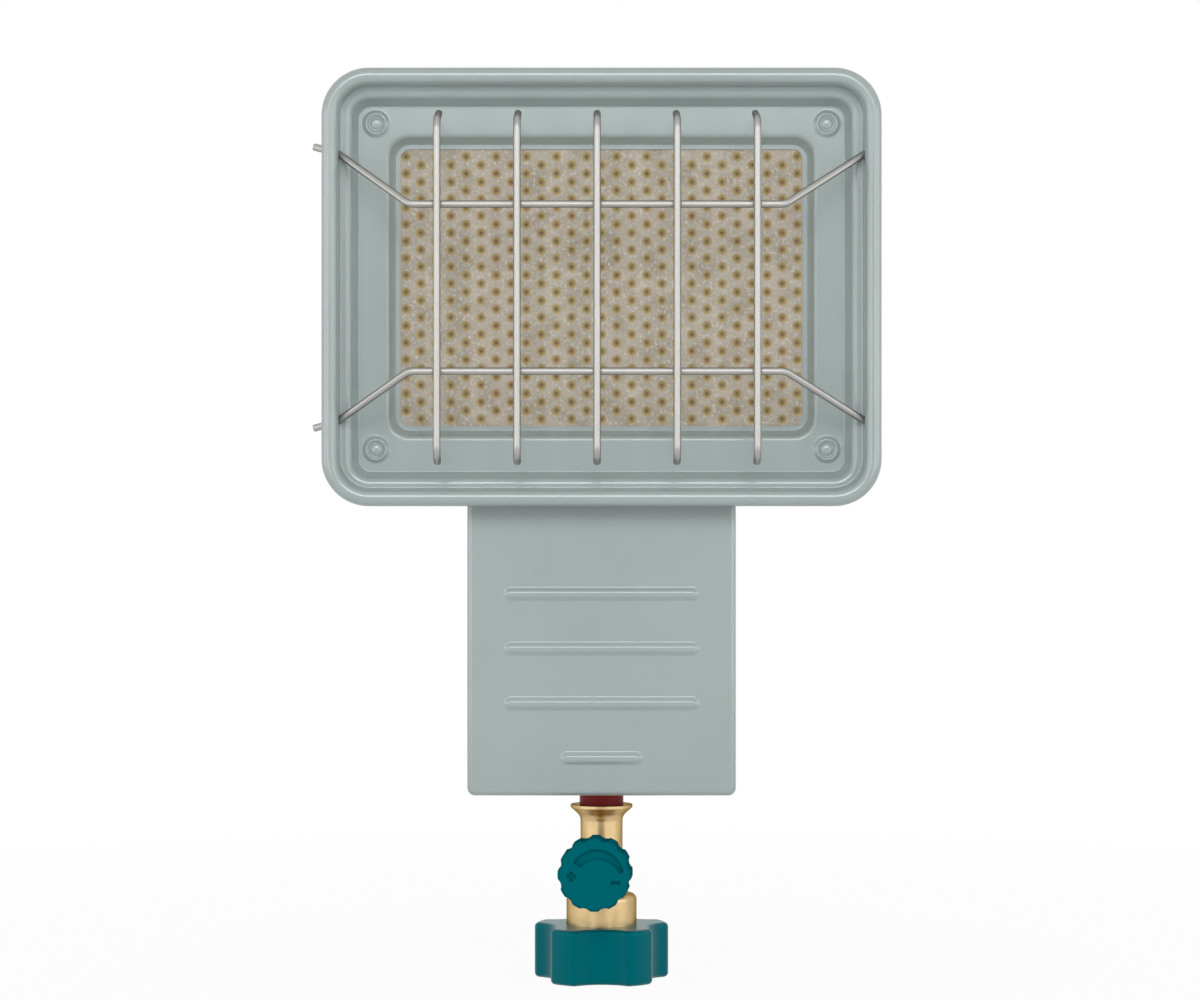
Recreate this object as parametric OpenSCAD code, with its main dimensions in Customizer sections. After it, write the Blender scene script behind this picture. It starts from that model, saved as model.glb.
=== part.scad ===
// Radiant gas heater that screws onto the valve of a small gas bottle.
// +Z is up, the heater faces -Y and +X is to the right of a person who looks at its front.
// The origin is the middle of the hand nut's thread, in the plane of its mouth.

/* [Ceramic plaque] */
// Width of the ceramic plaque
plaque_w = 132; // [120:1:145]
// Height of the ceramic plaque
plaque_h = 92; // [80:1:104]
// Thickness of the ceramic plaque
plaque_t = 13; // [12:0.5:15]
// Distance between two columns of pits in the plaque's face
pit_column = 4.84; // [4.6:0.02:6.5]
// Distance between two pits in one column
pit_pitch = 5.44; // [5:0.02:7]
// Radius of a pit
pit_r = 1.5; // [1:0.1:2]
// Depth of a pit
pit_depth = 1.4; // [0.6:0.1:3]
// Thickness of the fibre gasket round the plaque
gasket_t = 3.3; // [2.5:0.1:5]

/* [Reflector] */
// Sheet thickness of the reflector
refl_t = 0.8; // [0.6:0.1:1]
// How far the reflector's inner lip laps over the plaque
lip_over = 1.55; // [1:0.05:3]
// Width of the flat inner lip
lip_w = 1.7; // [1.4:0.1:3]
// Run of the sloped step between the floor and the lip
recess_run = 2.2; // [1.8:0.1:3]
// Depth of that step behind the floor
recess_depth = 5; // [4:0.1:7]
// Corner radius of the step
recess_r = 7; // [6:0.1:10]
// Width of the flat floor at the left and right of the step
floor_side = 9.55; // [9:0.05:14]
// Height of the flat floor above and below the step
floor_end = 10.35; // [9.8:0.05:14]
// Depth of the floor behind the crest of the rim
refl_depth = 14; // [12:0.5:18]
// Outer corner radius of the reflector
refl_corner_r = 15; // [14:0.5:18]
// Outer radius of the rolled rim
rim_roll_r = 2.7; // [2.4:0.1:3.2]
// How far the rim's outer hem reaches back from the crest
rim_hem = 4.4; // [3.5:0.1:5]
// Depth of the ledge behind the crest
ledge_depth = 7.5; // [7:0.1:9]
// Width of the ledge
ledge_w = 3.4; // [2.8:0.1:5]
// Run of the sloped wall between the ledge and the floor
wall_run = 2.2; // [1.6:0.1:3.5]
// How far the crest of the rim stands in front of the pipe's axis
rim_reach = 43; // [42:0.5:50]
// Height of the reflector's middle above the nut's mouth
refl_z = 224.2; // [222:0.5:250]
// How far the burner sits above the reflector's middle
burner_rise = 0.8; // [0:0.1:1.5]

/* [Corner rivets] */
// Radius of the raised boss at each corner
boss_r = 4.4; // [4.2:0.1:4.6]
// Height of the raised boss
boss_h = 1.1; // [0.8:0.1:1.4]
// Depth of the dimple in the boss, which holds the rivet's head
dimple_depth = 0.7; // [0.4:0.1:0.8]
// Shank radius of a rivet
rivet_r = 1.3; // [1:0.1:1.4]
// Head radius of a rivet
rivet_head_r = 2; // [1.8:0.1:2.1]
// Distance of a rivet outside the corner of the step, along each side
rivet_out = 3.65; // [3.2:0.05:4.2]

/* [Burner box] */
// Sheet thickness of the burner box
box_t = 0.7; // [0.5:0.1:1]
// Outer corner radius of the burner box
box_r = 9; // [8.6:0.1:11]
// How far the box's flange reaches past the rivets
flange_over = 5; // [4.2:0.1:5.4]
// Width of the inner step that the plaque rests against
box_step = 5.5; // [4:0.1:5.8]
// Depth of the gas chamber behind the plaque
chamber_depth = 19.5; // [19:0.5:26]
// Height of the panel pressed into the back of the box
box_bead_h = 1; // [0.5:0.1:1.5]
// Flat border round that panel
panel_in = 11; // [6:0.5:16]
// Corner radius of that panel
panel_r = 10; // [4:0.5:14]

/* [Baffle] */
// Width of the baffle plate in the gas chamber
baffle_w = 96; // [60:1:100]
// Height of the baffle plate
baffle_h = 56; // [30:1:60]
// Gap between the baffle plate and the back of the chamber
baffle_gap = 11; // [8:0.5:13]

/* [Neck] */
// Width of the neck cover
neck_w = 86; // [70:1:100]
// Depth of the neck cover from front to back
neck_depth = 39; // [36:0.5:46]
// Height of the neck cover's lower edge above the nut's mouth
neck_bottom = 62.3; // [61.5:0.1:64]
// Sheet thickness of the neck cover
neck_t = 0.8; // [0.6:0.1:1.2]
// Radius of the neck's lower corners
neck_corner_r = 2.5; // [1.6:0.1:5]
// Radius of the neck's front edges
neck_fold_r = 1.8; // [1.4:0.1:4]
// Length of the long stiffening beads on the neck
bead_len = 62; // [40:1:66]
// Length of the short bead under them
bead_short = 26; // [16:1:40]
// Distance between two beads
bead_pitch = 17.5; // [14:0.5:19]
// Height of the lowest bead above the neck's lower edge
bead_rise = 12; // [8:0.5:16]
// Height of a bead in front of the sheet
bead_h = 1; // [0.6:0.1:1.2]
// Number of long beads
bead_count = 3; // [1:1:4]

/* [Mixing tube] */
// Outer radius of the mixing tube
tube_r = 7; // [6.4:0.1:7.2]
// Wall thickness of the mixing tube
tube_t = 0.8; // [0.6:0.1:1.2]
// Outer radius of the tube's throat
throat_r = 5.2; // [4.5:0.1:6]
// Outer radius of the tube's bell mouth
bell_r = 9; // [8.4:0.1:10]
// Length of the bell mouth up to the throat
bell_len = 16; // [12:0.5:24]
// Length of the widening part above the throat
diffuser_len = 38; // [25:1:50]
// Bend radius where the bell mouth starts to narrow
bell_bend = 4; // [2:0.5:6]
// Bend radius of the throat
throat_bend = 12; // [8:1:20]
// Bend radius at the widening part's upper end
diffuser_bend = 30; // [15:1:40]
// Head radius of the screws under the tube's flange
screw_head_r = 2.8; // [2.4:0.1:3.4]
// Height of that head
screw_head_h = 1.8; // [1.4:0.1:2.2]
// Width of the slot in that head
screw_slot = 0.7; // [0.5:0.1:1]

/* [Jet and air cage] */
// Height of the air cage's solid foot
cage_foot = 7; // [6:0.5:9]
// Height of the air windows
window_h = 14; // [12:0.5:18]
// Width of an air window
window_w = 9; // [6:0.5:11]
// Wall thickness of the air cage
cage_t = 1.2; // [1:0.1:2]
// Height of the air cage's upper collar
cage_collar = 7; // [5:0.5:10]
// Size across the flats of the jet
jet_flats = 7; // [6.5:0.1:8]
// Length of the jet above the valve
jet_len = 11; // [8:0.5:14]

/* [Valve] */
// Radius of the brass valve body
body_r = 6.9; // [6.6:0.1:8]
// Outer radius of the flared cup at the top of the body
flare_r = 10.15; // [9:0.05:12]
// Height of the flared cup's edge above the nut's mouth
flare_z = 57.1; // [55:0.1:58]
// Height of the flare
flare_h = 4.6; // [3:0.1:6]
// Outer radius of the red seal between the cup and the neck
seal_r = 7.2; // [6.6:0.1:7.5]
// Radius of the threaded spigot that carries the neck
spigot_r = 5; // [4.8:0.1:5.4]
// Height of the valve's side branch above the nut's mouth
branch_z = 38.2; // [37:0.1:40]
// Turn of the side branch away from straight ahead, in degrees
branch_turn = -3.5; // [-10:0.5:10]
// Radius of the side branch
branch_r = 6.2; // [6:0.1:6.6]
// Length of the side branch from the pipe's axis
branch_len = 18; // [17:0.5:20]
// Radius of the valve spindle
spindle_r = 3; // [2.6:0.1:3.2]
// Radius of the spindle's threaded stretch
spindle_thread_r = 3.4; // [3.3:0.05:3.6]
// Pitch of the spindle's thread
spindle_pitch = 1; // [0.75:0.05:1.25]
// Number of turns from shut to fully open
spindle_turns = 1.5; // [1:0.25:2]
// Size across the flats of the gland nut
gland_flats = 12; // [11.5:0.1:12.4]
// Length of the gland nut's hexagon
gland_h = 4.5; // [3.5:0.1:5]

/* [Knob] */
// Radius of the knob over its lobes
knob_r = 11.7; // [10.5:0.1:13]
// Length of the knob's rim
knob_h = 12.5; // [11:0.1:15]
// Number of grip lobes on the knob
knob_lobes = 12; // [8:1:16]
// Radius of each hollow between the grip lobes
knob_hollow_r = 2.6; // [1.6:0.1:3.2]
// Depth of each hollow between the grip lobes
knob_hollow_depth = 0.8; // [0.4:0.1:1.2]
// Wall thickness of the knob
knob_t = 2; // [1.5:0.1:2.6]
// Depth of the groove in the knob's face
groove_depth = 0.7; // [0.3:0.1:1]

/* [Bottle connection] */
// Mean radius of the thread that takes the bottle's valve
thread_r = 10.3; // [9.5:0.1:10.6]
// Length of that thread
thread_len = 12.3; // [10:0.1:13]
// Size across the flats of the brass nut inside the hand nut
nut_flats = 25.4; // [25:0.1:27]
// Radius of the brass nut's shoulder above the hand nut
shoulder_r = 11.5; // [11.2:0.1:12.5]
// Height of the brass nut's top above its mouth
shoulder_z = 27.9; // [26:0.1:28.4]
// Height of the hand nut
hand_h = 18; // [16:0.5:20]
// Number of lobes on the hand nut
hand_lobes = 5; // [4:1:7]
// Radius of the hand nut over its lobes
hand_r = 22.2; // [21.5:0.1:25]
// Width of each lobe of the hand nut
hand_lobe_w = 11.2; // [9:0.1:12]
// Radius of the rounded edges of each lobe
hand_edge_r = 2.5; // [2:0.1:3]
// Least radius of the hand nut, in its hollows
hand_waist_r = 16.8; // [16.2:0.1:18]
// Radius of the connector's head inside the nut
head_r = 9.3; // [8.6:0.1:9.4]
// Thickness of the connector's head
head_h = 4.6; // [3:0.1:5]
// Radius of the connector's stem
stem_r = 5.5; // [5:0.1:6]
// Thickness of the sealing washer
washer_t = 2; // [1.5:0.1:2.5]

/* [Guard] */
// Radius of the guard's wire
wire_r = 1.15; // [0.9:0.05:1.4]
// How far the cross wires stand in front of the rim's crest
guard_reach = 12.6; // [8:0.1:16]
// Distance between the two cross wires
cross_pitch = 52; // [40:1:60]
// Half the straight length of a cross wire
cross_half = 58.6; // [54:0.1:64]
// Height of the side holes above and below the reflector's middle
hole_rise = 42.4; // [36:0.1:50]
// Depth of the side holes behind the crest of the rim
hole_depth = 5.1; // [4.8:0.1:5.6]
// Radius of the side holes that the wires spring into
side_hole_r = 1.7; // [1.6:0.05:2]
// Length of a wire's end past the reflector's left side wall
stub_left = 8.5; // [3:0.1:10]
// Length of a wire's end past the reflector's right side wall
stub_right = 4.2; // [3:0.1:8]
// Slope of the wires' ends past the side walls
stub_slope = 0.43; // [0:0.01:1]
// Number of upright wires
upright_count = 5; // [3:2:5]
// Distance between two upright wires
upright_pitch = 24.9; // [18:0.1:26]
// Reach of the upright wires above the upper cross wire
upright_top = 29.6; // [20:0.1:32]
// Reach of the upright wires below the lower cross wire
upright_foot = 28.3; // [20:0.1:32]
// Length of the bent end at the top of each upright wire
upright_hook = 14; // [8:0.5:16]
// Length of the bent end at the foot of each upright wire
upright_toe = 5; // [3:0.5:16]
// How far the guard sits to the left of the middle
guard_left = 1.4; // [0:0.1:2]
// How far the guard sits below the reflector's middle
guard_drop = 1.2; // [0:0.1:2]
// Inner bend radius of the guard's wire
wire_bend_r = 3; // [2:0.1:5]

/* [Clearances] */
// Radial clearance of a shaft that turns in its hole
run_clear = 0.05; // [0.02:0.01:0.08]
// Clearance of a part that is clamped or pressed in place
seat_clear = 0.05; // [0.02:0.01:0.1]
// Radial clearance of the valve's spigot in the neck
hole_clear = 0.3; // [0.1:0.05:0.5]

/* [Hidden] */
$fn = 64;

paint = "#98a8a6";
aluminised = "#b9bcbb";
bright_steel = "#d5d8d8";
brass = "#c9a263";
teal = "#0b6f78";
ceramic = "#cfc3ae";
fibre = "#e7e3d8";
black_rubber = "#26282a";
red_rubber = "#8c1614";

// Reflector, measured inward from its outer edge and back from its crest
wall_inset = 2 * rim_roll_r - refl_t / 2;
ledge_inset = wall_inset + ledge_w;
floor_inset = ledge_inset + wall_run;
floor_fillet = 1;
recess_w = plaque_w - 2 * lip_over + 2 * (lip_w + recess_run);
recess_h = plaque_h - 2 * lip_over + 2 * (lip_w + recess_run);
refl_w = recess_w + 2 * (floor_side + floor_inset);
refl_h = recess_h + 2 * (floor_end + floor_inset);
rim_y = -rim_reach;
floor_back_y = rim_y + refl_depth + refl_t;
lip_back_y = floor_back_y + recess_depth;
burner_z = refl_z + burner_rise;
rivet_x = recess_w / 2 + rivet_out;
rivet_z = recess_h / 2 + rivet_out;
boss_edge_r = boss_r + 0.4;

// Burner box
plaque_back_y = lip_back_y + plaque_t;
box_w = plaque_w + 2 * (gasket_t + box_t + seat_clear);
box_h = plaque_h + 2 * (gasket_t + box_t + seat_clear);
flange_w = 2 * (rivet_x + flange_over);
flange_h = 2 * (rivet_z + flange_over);
flange_r = 6;
chamber_back_y = plaque_back_y + chamber_depth;
chamber_half_h = box_h / 2 - box_step;
chamber_floor_z = burner_z - chamber_half_h;
box_fillet = 1.2;
chamber_fillet = 2;

// Neck, tube and air cage
neck_front_y = floor_back_y;
neck_top = burner_z - box_h / 2 - 2;
bead_sink = 1.6;
cage_z = neck_bottom + neck_t;
window_z = cage_z + cage_foot + 1.5;
collar_z = window_z + window_h;
cage_r = bell_r + cage_t;
tube_bottom = collar_z + 0.5;
tube_flange_t = 1.2;
tube_top = chamber_floor_z + 5;
tube_flange_len = 36;
tube_flange_w = 13;
tube_screw_x = 13;
screw_r = 1.5;

// Valve
cup_floor_z = flare_z - 1.8;
spigot_top = cage_z + cage_foot + 0.8;
body_bottom = shoulder_z + 0.3;
seat_at = 2;
pad_t = 1.35;
pad_r = 2.4;
stroke = spindle_pitch * spindle_turns;
gland_thread_r = spindle_r + 1.95;
packing_at = branch_len - 4;
packing_t = 1.6;
gland_end = branch_len + gland_h;
knob_back = gland_end + 4.5;
knob_front = knob_back + knob_h;
spindle_end = knob_front - 2.8;

// Bottle connection
washer_z = thread_len + 0.3;
head_z = washer_z + washer_t;
shoulder_in_z = head_z + head_h + 0.3;
stem_thread_r = 4;
stem_thread_len = 6;
gas_bore_r = 2;
// The circle that rounds a lobe's edge runs into the crest and the hollow by this much
lap = 0.15;
hand_edge_at = hand_r + lap - hand_edge_r;
hand_edge_turn = asin((hand_lobe_w / 2 - hand_edge_r) / hand_edge_at);
hand_edge = hand_edge_at * [cos(180 / hand_lobes - hand_edge_turn), sin(180 / hand_lobes - hand_edge_turn)];
hand_hollow_r = (pow(hand_edge.x - hand_waist_r, 2) + pow(hand_edge.y, 2) - pow(hand_edge_r - lap, 2))
                / (2 * (hand_edge_r - lap + hand_edge.x - hand_waist_r));

// Guard
cross_y = rim_y - guard_reach;
upright_y = cross_y - 2 * wire_r;
guard_z = refl_z - guard_drop;
hole_x = refl_w / 2 - wall_inset;
hole_y = rim_y + hole_depth;

// ---------- shared shapes ----------

function unit(v) = v / norm(v);

// The arc that rounds corner q between p and s, as n + 1 points
function corner_arc(p, q, s, r, n) =
    let (a = unit(p - q), b = unit(s - q), half = acos(a * b) / 2,
         c = q + unit(a + b) * r / sin(half),
         first = q + a * r / tan(half) - c, last = q + b * r / tan(half) - c,
         start = atan2(first.y, first.x),
         raw = atan2(last.y, last.x) - start,
         turn = raw > 180 ? raw - 360 : raw < -180 ? raw + 360 : raw)
    [for (i = [0:n]) c + r * [cos(start + turn * i / n), sin(start + turn * i / n)]];

// A path through points, each inner corner rounded by its own radius, with no point twice
function rounded_path(points, radii, n = 6) =
    let (last = len(points) - 1,
         path = [for (i = [0:last])
                    each (radii[i] > 0
                          ? corner_arc(points[i - 1], points[i], points[i + 1], radii[i], n)
                          : [points[i]])])
    [for (i = [0:len(path) - 1]) if (i == 0 || norm(path[i] - path[i - 1]) > 0.001) path[i]];

function path_normal(path, i) =
    let (d = unit(path[min(i + 1, len(path) - 1)] - path[max(i - 1, 0)])) [-d.y, d.x];

// The outline of a sheet of thickness t that follows a path
function strip(path, t) =
    concat([for (i = [0:len(path) - 1]) path[i] + path_normal(path, i) * t / 2],
           [for (i = [len(path) - 1:-1:0]) path[i] - path_normal(path, i) * t / 2]);

// A cross wire's corner, its hole in the side wall, and the way its end leaves that hole
function cross_corner(x, z) = [x * cross_half - guard_left, cross_y, guard_z + z * cross_pitch / 2];
function side_hole(x, z) = [x * hole_x, hole_y, refl_z + z * hole_rise];
function stub_way(x, z) =
    let (way = side_hole(x, z) - cross_corner(x, z)) unit([x, 0, 0] + stub_slope * unit([0, way.y, way.z]));

// Stands a flat shape upright: its y points up, and its z points to the front from plane y
module upright(y, z = 0) {
    translate([0, y, z]) rotate([90, 0, 0]) children();
}

module rounded_rect(w, h, r) {
    square([w - 2 * r, h], center = true);
    square([w, h - 2 * r], center = true);
    for (x = [-1, 1], y = [-1, 1]) translate([x * (w / 2 - r), y * (h / 2 - r)]) circle(r);
}

// Carries a section round a rounded rectangle. Section points are [inset, depth].
module swept_ring(w, h, r, section) {
    outline = [for (p = section) [r - p.x, -p.y]];
    for (turn = [0:3]) {
        half_x = (turn % 2 == 0 ? w : h) / 2 - r;
        half_y = (turn % 2 == 0 ? h : w) / 2 - r;
        rotate([0, 0, 90 * turn]) translate([half_x, half_y, 0]) {
            rotate_extrude(angle = 90) polygon(outline);
            rotate([90, 0, 0]) linear_extrude(2 * half_y) polygon(outline);
        }
    }
}

module ring(r_out, r_in, h) {
    difference() {
        cylinder(r = r_out, h = h);
        translate([0, 0, -1]) cylinder(r = r_in, h = h + 2);
    }
}

// A wire through points that lie in one plane, bent at each inner one
module bent_wire(points, r, bend_r, sides = 12) {
    last = len(points) - 1;
    across = unit(cross(points[1] - points[0], points[2] - points[1]));
    way = [for (i = [0:last - 1]) unit(points[i + 1] - points[i])];
    turn = [for (i = [0:last]) i == 0 || i == last ? 0 : acos(way[i - 1] * way[i])];
    steps = 5;
    stations = concat(
        [[points[0], way[0]]],
        [for (i = [1:last - 1], k = [0:steps])
            let (inward = unit(way[i] - (way[i - 1] * way[i]) * way[i - 1]),
                 c = points[i] - way[i - 1] * bend_r * tan(turn[i] / 2) + inward * bend_r,
                 a = turn[i] * k / steps)
            [c + bend_r * (way[i - 1] * sin(a) - inward * cos(a)), way[i - 1] * cos(a) + inward * sin(a)]],
        [[points[last], way[last - 1]]]);
    rings = [for (s = stations) let (side = cross(s[1], across))
        each [for (k = [0:sides - 1]) s[0] + r * (across * cos(360 * k / sides) + side * sin(360 * k / sides))]];
    count = len(stations);
    faces = concat(
        [[for (k = [0:sides - 1]) k]],
        [for (i = [0:count - 2], k = [0:sides - 1])
            [i * sides + k, (i + 1) * sides + k, (i + 1) * sides + (k + 1) % sides, i * sides + (k + 1) % sides]],
        [[for (k = [sides - 1:-1:0]) (count - 1) * sides + k]]);
    polyhedron(rings, faces);
}

// Places children at the four corner rivets, with z to the front from plane y
module at_rivets(y) {
    upright(y, burner_z)
        for (x = [-1, 1], z = [-1, 1]) translate([x * rivet_x, z * rivet_z, 0]) children();
}

// Places children on the spindle's axis, with z to the front from the pipe's axis
module on_spindle() {
    translate([0, 0, branch_z]) rotate([0, 0, branch_turn]) rotate([90, 0, 0]) children();
}

// ---------- head ----------

module reflector() {
    floor_mid = refl_depth + refl_t / 2;
    rim_path = rounded_path(
        [[refl_t / 2, rim_hem], [refl_t / 2, refl_t / 2], [wall_inset, refl_t / 2],
         [wall_inset, ledge_depth + refl_t / 2], [ledge_inset, ledge_depth + refl_t / 2],
         [floor_inset, floor_mid], [refl_corner_r - 1.5, floor_mid]],
        [0, rim_roll_r - refl_t / 2, rim_roll_r - refl_t / 2, 1.2, 1.2, floor_fillet, 0]);
    apron = 2;
    recess_path = rounded_path(
        [[0, floor_mid], [apron, floor_mid], [apron + recess_run, floor_mid + recess_depth],
         [apron + recess_run + lip_w, floor_mid + recess_depth]],
        [0, 1.2, 0.9, 0]);
    rise = [0, burner_rise, 0];
    color(paint) difference() {
        union() {
            upright(rim_y, refl_z) {
                swept_ring(refl_w, refl_h, refl_corner_r, strip(rim_path, refl_t));
                translate(rise) swept_ring(recess_w + 2 * apron, recess_h + 2 * apron,
                                           recess_r + apron, strip(recess_path, refl_t));
            }
            upright(floor_back_y, refl_z) linear_extrude(refl_t) difference() {
                rounded_rect(refl_w - 2 * (refl_corner_r - 1.5), refl_h - 2 * (refl_corner_r - 1.5), 1.5);
                translate([0, burner_rise])
                    rounded_rect(recess_w + 2 * apron, recess_h + 2 * apron, recess_r + apron);
            }
        }
        at_rivets(floor_back_y + 1) cylinder(r = boss_edge_r, h = refl_t + 2);
        // The holes lean with the wires that pass through them
        for (x = [-1, 1], z = [-1, 1]) {
            way = unit(unit(side_hole(x, z) - cross_corner(x, z)) + stub_way(x, z));
            translate(side_hole(x, z)) rotate([0, acos(way.z), atan2(way.y, way.x)])
                cylinder(r = side_hole_r, h = 4 * side_hole_r, center = true);
        }
    }
    boss_path = rounded_path(
        [[rivet_r + seat_clear, boss_h - dimple_depth], [rivet_head_r + 0.3, boss_h - dimple_depth],
         [rivet_head_r + 0.9, boss_h], [boss_r - 1.1, boss_h], [boss_r, 0], [boss_edge_r, 0]],
        [0, 0.3, 0.4, 0.4, 0.5, 0]);
    color(paint) at_rivets(floor_back_y) translate([0, 0, refl_t / 2])
        rotate_extrude() polygon(strip(boss_path, refl_t));
}

module corner_rivets() {
    front = refl_t + boss_h - dimple_depth;
    color(paint) at_rivets(floor_back_y) {
        translate([0, 0, -box_t - 1]) cylinder(r = rivet_r, h = front + box_t + 1);
        intersection() {
            translate([0, 0, front - 1.6]) sphere(r = norm([rivet_head_r, 1.6]));
            translate([0, 0, front]) cylinder(r = rivet_head_r, h = 3);
        }
        translate([0, 0, -box_t - 1.2]) cylinder(r1 = rivet_r, r2 = rivet_r + 0.9, h = 1.2);
    }
}

module burner_box() {
    back_mid = chamber_back_y + box_t / 2 - floor_back_y;
    step_mid = plaque_back_y + box_t / 2 - floor_back_y;
    apron = 1.6;
    wall = apron + box_t / 2;
    inner_wall = wall + box_step;
    middle_r = 0.8;
    plate_at = apron + box_r - middle_r;
    path = rounded_path(
        [[0, box_t / 2], [wall, box_t / 2], [wall, step_mid], [inner_wall, step_mid],
         [inner_wall, back_mid], [plate_at, back_mid]],
        [0, box_fillet, box_fillet, box_fillet, chamber_fillet, 0]);
    plate_w = box_w - 2 * (box_r - middle_r);
    plate_h = box_h - 2 * (box_r - middle_r);
    color(aluminised) difference() {
        union() {
            upright(floor_back_y, burner_z)
                swept_ring(box_w + 2 * apron, box_h + 2 * apron, box_r + apron, strip(path, box_t));
            upright(floor_back_y + box_t, burner_z) linear_extrude(box_t) difference() {
                rounded_rect(flange_w, flange_h, flange_r);
                rounded_rect(box_w + 2 * apron, box_h + 2 * apron, box_r + apron);
                translate([0, -flange_h / 2]) square([neck_w + 1, flange_h - box_h - 1], center = true);
            }
            upright(chamber_back_y + box_t, burner_z) linear_extrude(box_t)
                rounded_rect(plate_w, plate_h, middle_r);
            upright(chamber_back_y + box_t + box_bead_h, burner_z) linear_extrude(box_bead_h)
                rounded_rect(plate_w - 2 * panel_in, plate_h - 2 * panel_in, panel_r);
        }
        upright(chamber_back_y + box_bead_h, burner_z) linear_extrude(2 * box_bead_h)
            rounded_rect(plate_w - 2 * panel_in - 2 * box_t, plate_h - 2 * panel_in - 2 * box_t, panel_r - box_t);
        at_rivets(floor_back_y + box_t + 1) cylinder(r = rivet_r + seat_clear, h = box_t + 2);
        translate([0, 0, chamber_floor_z - 2]) {
            cylinder(r = tube_r + seat_clear, h = 6);
            for (x = [-1, 1]) translate([x * tube_screw_x, 0, 0]) cylinder(r = screw_r + seat_clear, h = 6);
        }
    }
}

module ceramic_plaque() {
    columns = floor((plaque_w / 2 - lip_over - pit_r) / pit_column);
    rows = floor((plaque_h / 2 - lip_over - pit_r) / pit_pitch + 0.25);
    color(ceramic) {
        upright(plaque_back_y, burner_z) linear_extrude(plaque_t - pit_depth)
            square([plaque_w, plaque_h], center = true);
        upright(lip_back_y + pit_depth, burner_z) linear_extrude(pit_depth) difference() {
            square([plaque_w, plaque_h], center = true);
            for (c = [-columns:columns], r = [-rows:rows - 1])
                translate([c * pit_column, (r + (c % 2 == 0 ? 0.25 : 0.75)) * pit_pitch]) circle(pit_r);
        }
    }
}

module plaque_gasket() {
    inner_r = box_r - box_t;
    color(fibre) upright(plaque_back_y - box_fillet, burner_z) linear_extrude(plaque_t - box_fillet) difference() {
        rounded_rect(box_w - 2 * box_t, box_h - 2 * box_t, inner_r);
        square([plaque_w + 2 * seat_clear, plaque_h + 2 * seat_clear], center = true);
    }
}

module baffle() {
    plate_y = chamber_back_y - baffle_gap;
    foot = 6;
    color(aluminised) translate([0, 0, burner_z + 4]) {
        translate([-baffle_w / 2, plate_y - box_t, -baffle_h / 2]) cube([baffle_w, box_t, baffle_h]);
        for (side = [0, 1]) mirror([side, 0, 0]) {
            translate([baffle_w / 2 - box_t, plate_y - box_t, -baffle_h / 2])
                cube([box_t, baffle_gap + box_t, baffle_h]);
            translate([baffle_w / 2 - foot, chamber_back_y - box_t, -baffle_h / 2])
                cube([foot, box_t, baffle_h]);
        }
    }
}

// ---------- neck and gas path ----------

// The neck's outline from the front, from its lower edge up, drawn in by wall
module neck_outline(wall, top) {
    r = neck_corner_r - wall;
    low = neck_bottom + wall;
    half = neck_w / 2 - wall;
    translate([-half, low + r]) square([2 * half, top - low - r]);
    translate([-half + r, low]) square([2 * half - 2 * r, 2 * r]);
    for (x = [-1, 1]) translate([x * (half - r), low + r]) circle(r);
}

// The neck's outline from above, from its front back, drawn in by wall
module neck_plan(wall, depth) {
    r = neck_fold_r - wall;
    half = neck_w / 2 - wall;
    translate([-half, neck_front_y + wall + r]) square([2 * half, depth - wall - r]);
    translate([-half + r, neck_front_y + wall]) square([2 * half - 2 * r, 2 * r]);
    for (x = [-1, 1]) translate([x * (half - r), neck_front_y + wall + r]) circle(r);
}

module neck_block(wall, depth, top) {
    intersection() {
        upright(neck_front_y + depth) linear_extrude(depth) neck_outline(wall, top);
        linear_extrude(top) neck_plan(wall, depth);
    }
}

// One stiffening bead, as a round bar with round ends that lies along X
module bead(len, z, r) {
    translate([0, neck_front_y + bead_sink, z]) {
        rotate([0, 90, 0]) cylinder(r = r, h = len - 2 * r, center = true);
        for (x = [-1, 1]) translate([x * (len / 2 - r), 0, 0]) sphere(r);
    }
}

module beads(r) {
    low = neck_bottom + bead_rise;
    bead(bead_short, low, r);
    for (i = [1:bead_count]) bead(bead_len, low + i * bead_pitch, r);
}

module neck_cover() {
    bead_r = bead_h + bead_sink;
    color(paint) difference() {
        union() {
            neck_block(0, neck_depth, neck_top);
            intersection() {
                beads(bead_r);
                translate([-neck_w / 2, neck_front_y - 5, 0]) cube([neck_w, 5.2, neck_top]);
            }
        }
        neck_block(neck_t, neck_depth + 1, neck_top + 1);
        intersection() {
            beads(bead_r - neck_t);
            translate([-neck_w / 2, neck_front_y - 5, 0]) cube([neck_w, 5 + 2 * neck_t, neck_top]);
        }
        translate([0, 0, neck_bottom - 1]) cylinder(r = spigot_r + hole_clear, h = neck_t + 2);
    }
}

module mixing_tube() {
    throat_z = tube_bottom + bell_len;
    wide_z = throat_z + diffuser_len;
    mid = tube_t / 2;
    path = rounded_path(
        [[bell_r - mid, tube_bottom], [bell_r - mid, tube_bottom + 6], [throat_r - mid, throat_z],
         [tube_r - mid, wide_z], [tube_r - mid, tube_top]],
        [0, bell_bend, throat_bend, diffuser_bend, 0], 5);
    color(aluminised) {
        rotate_extrude() polygon(strip(path, tube_t));
        translate([0, 0, chamber_floor_z - tube_flange_t]) difference() {
            linear_extrude(tube_flange_t) difference() {
                union() {
                    square([tube_flange_len - tube_flange_w, tube_flange_w], center = true);
                    for (x = [-1, 1]) translate([x * (tube_flange_len - tube_flange_w) / 2, 0])
                        circle(d = tube_flange_w);
                }
                circle(tube_r - mid);
                for (x = [-1, 1]) translate([x * tube_screw_x, 0]) circle(screw_r + seat_clear);
            }
        }
    }
}

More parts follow.
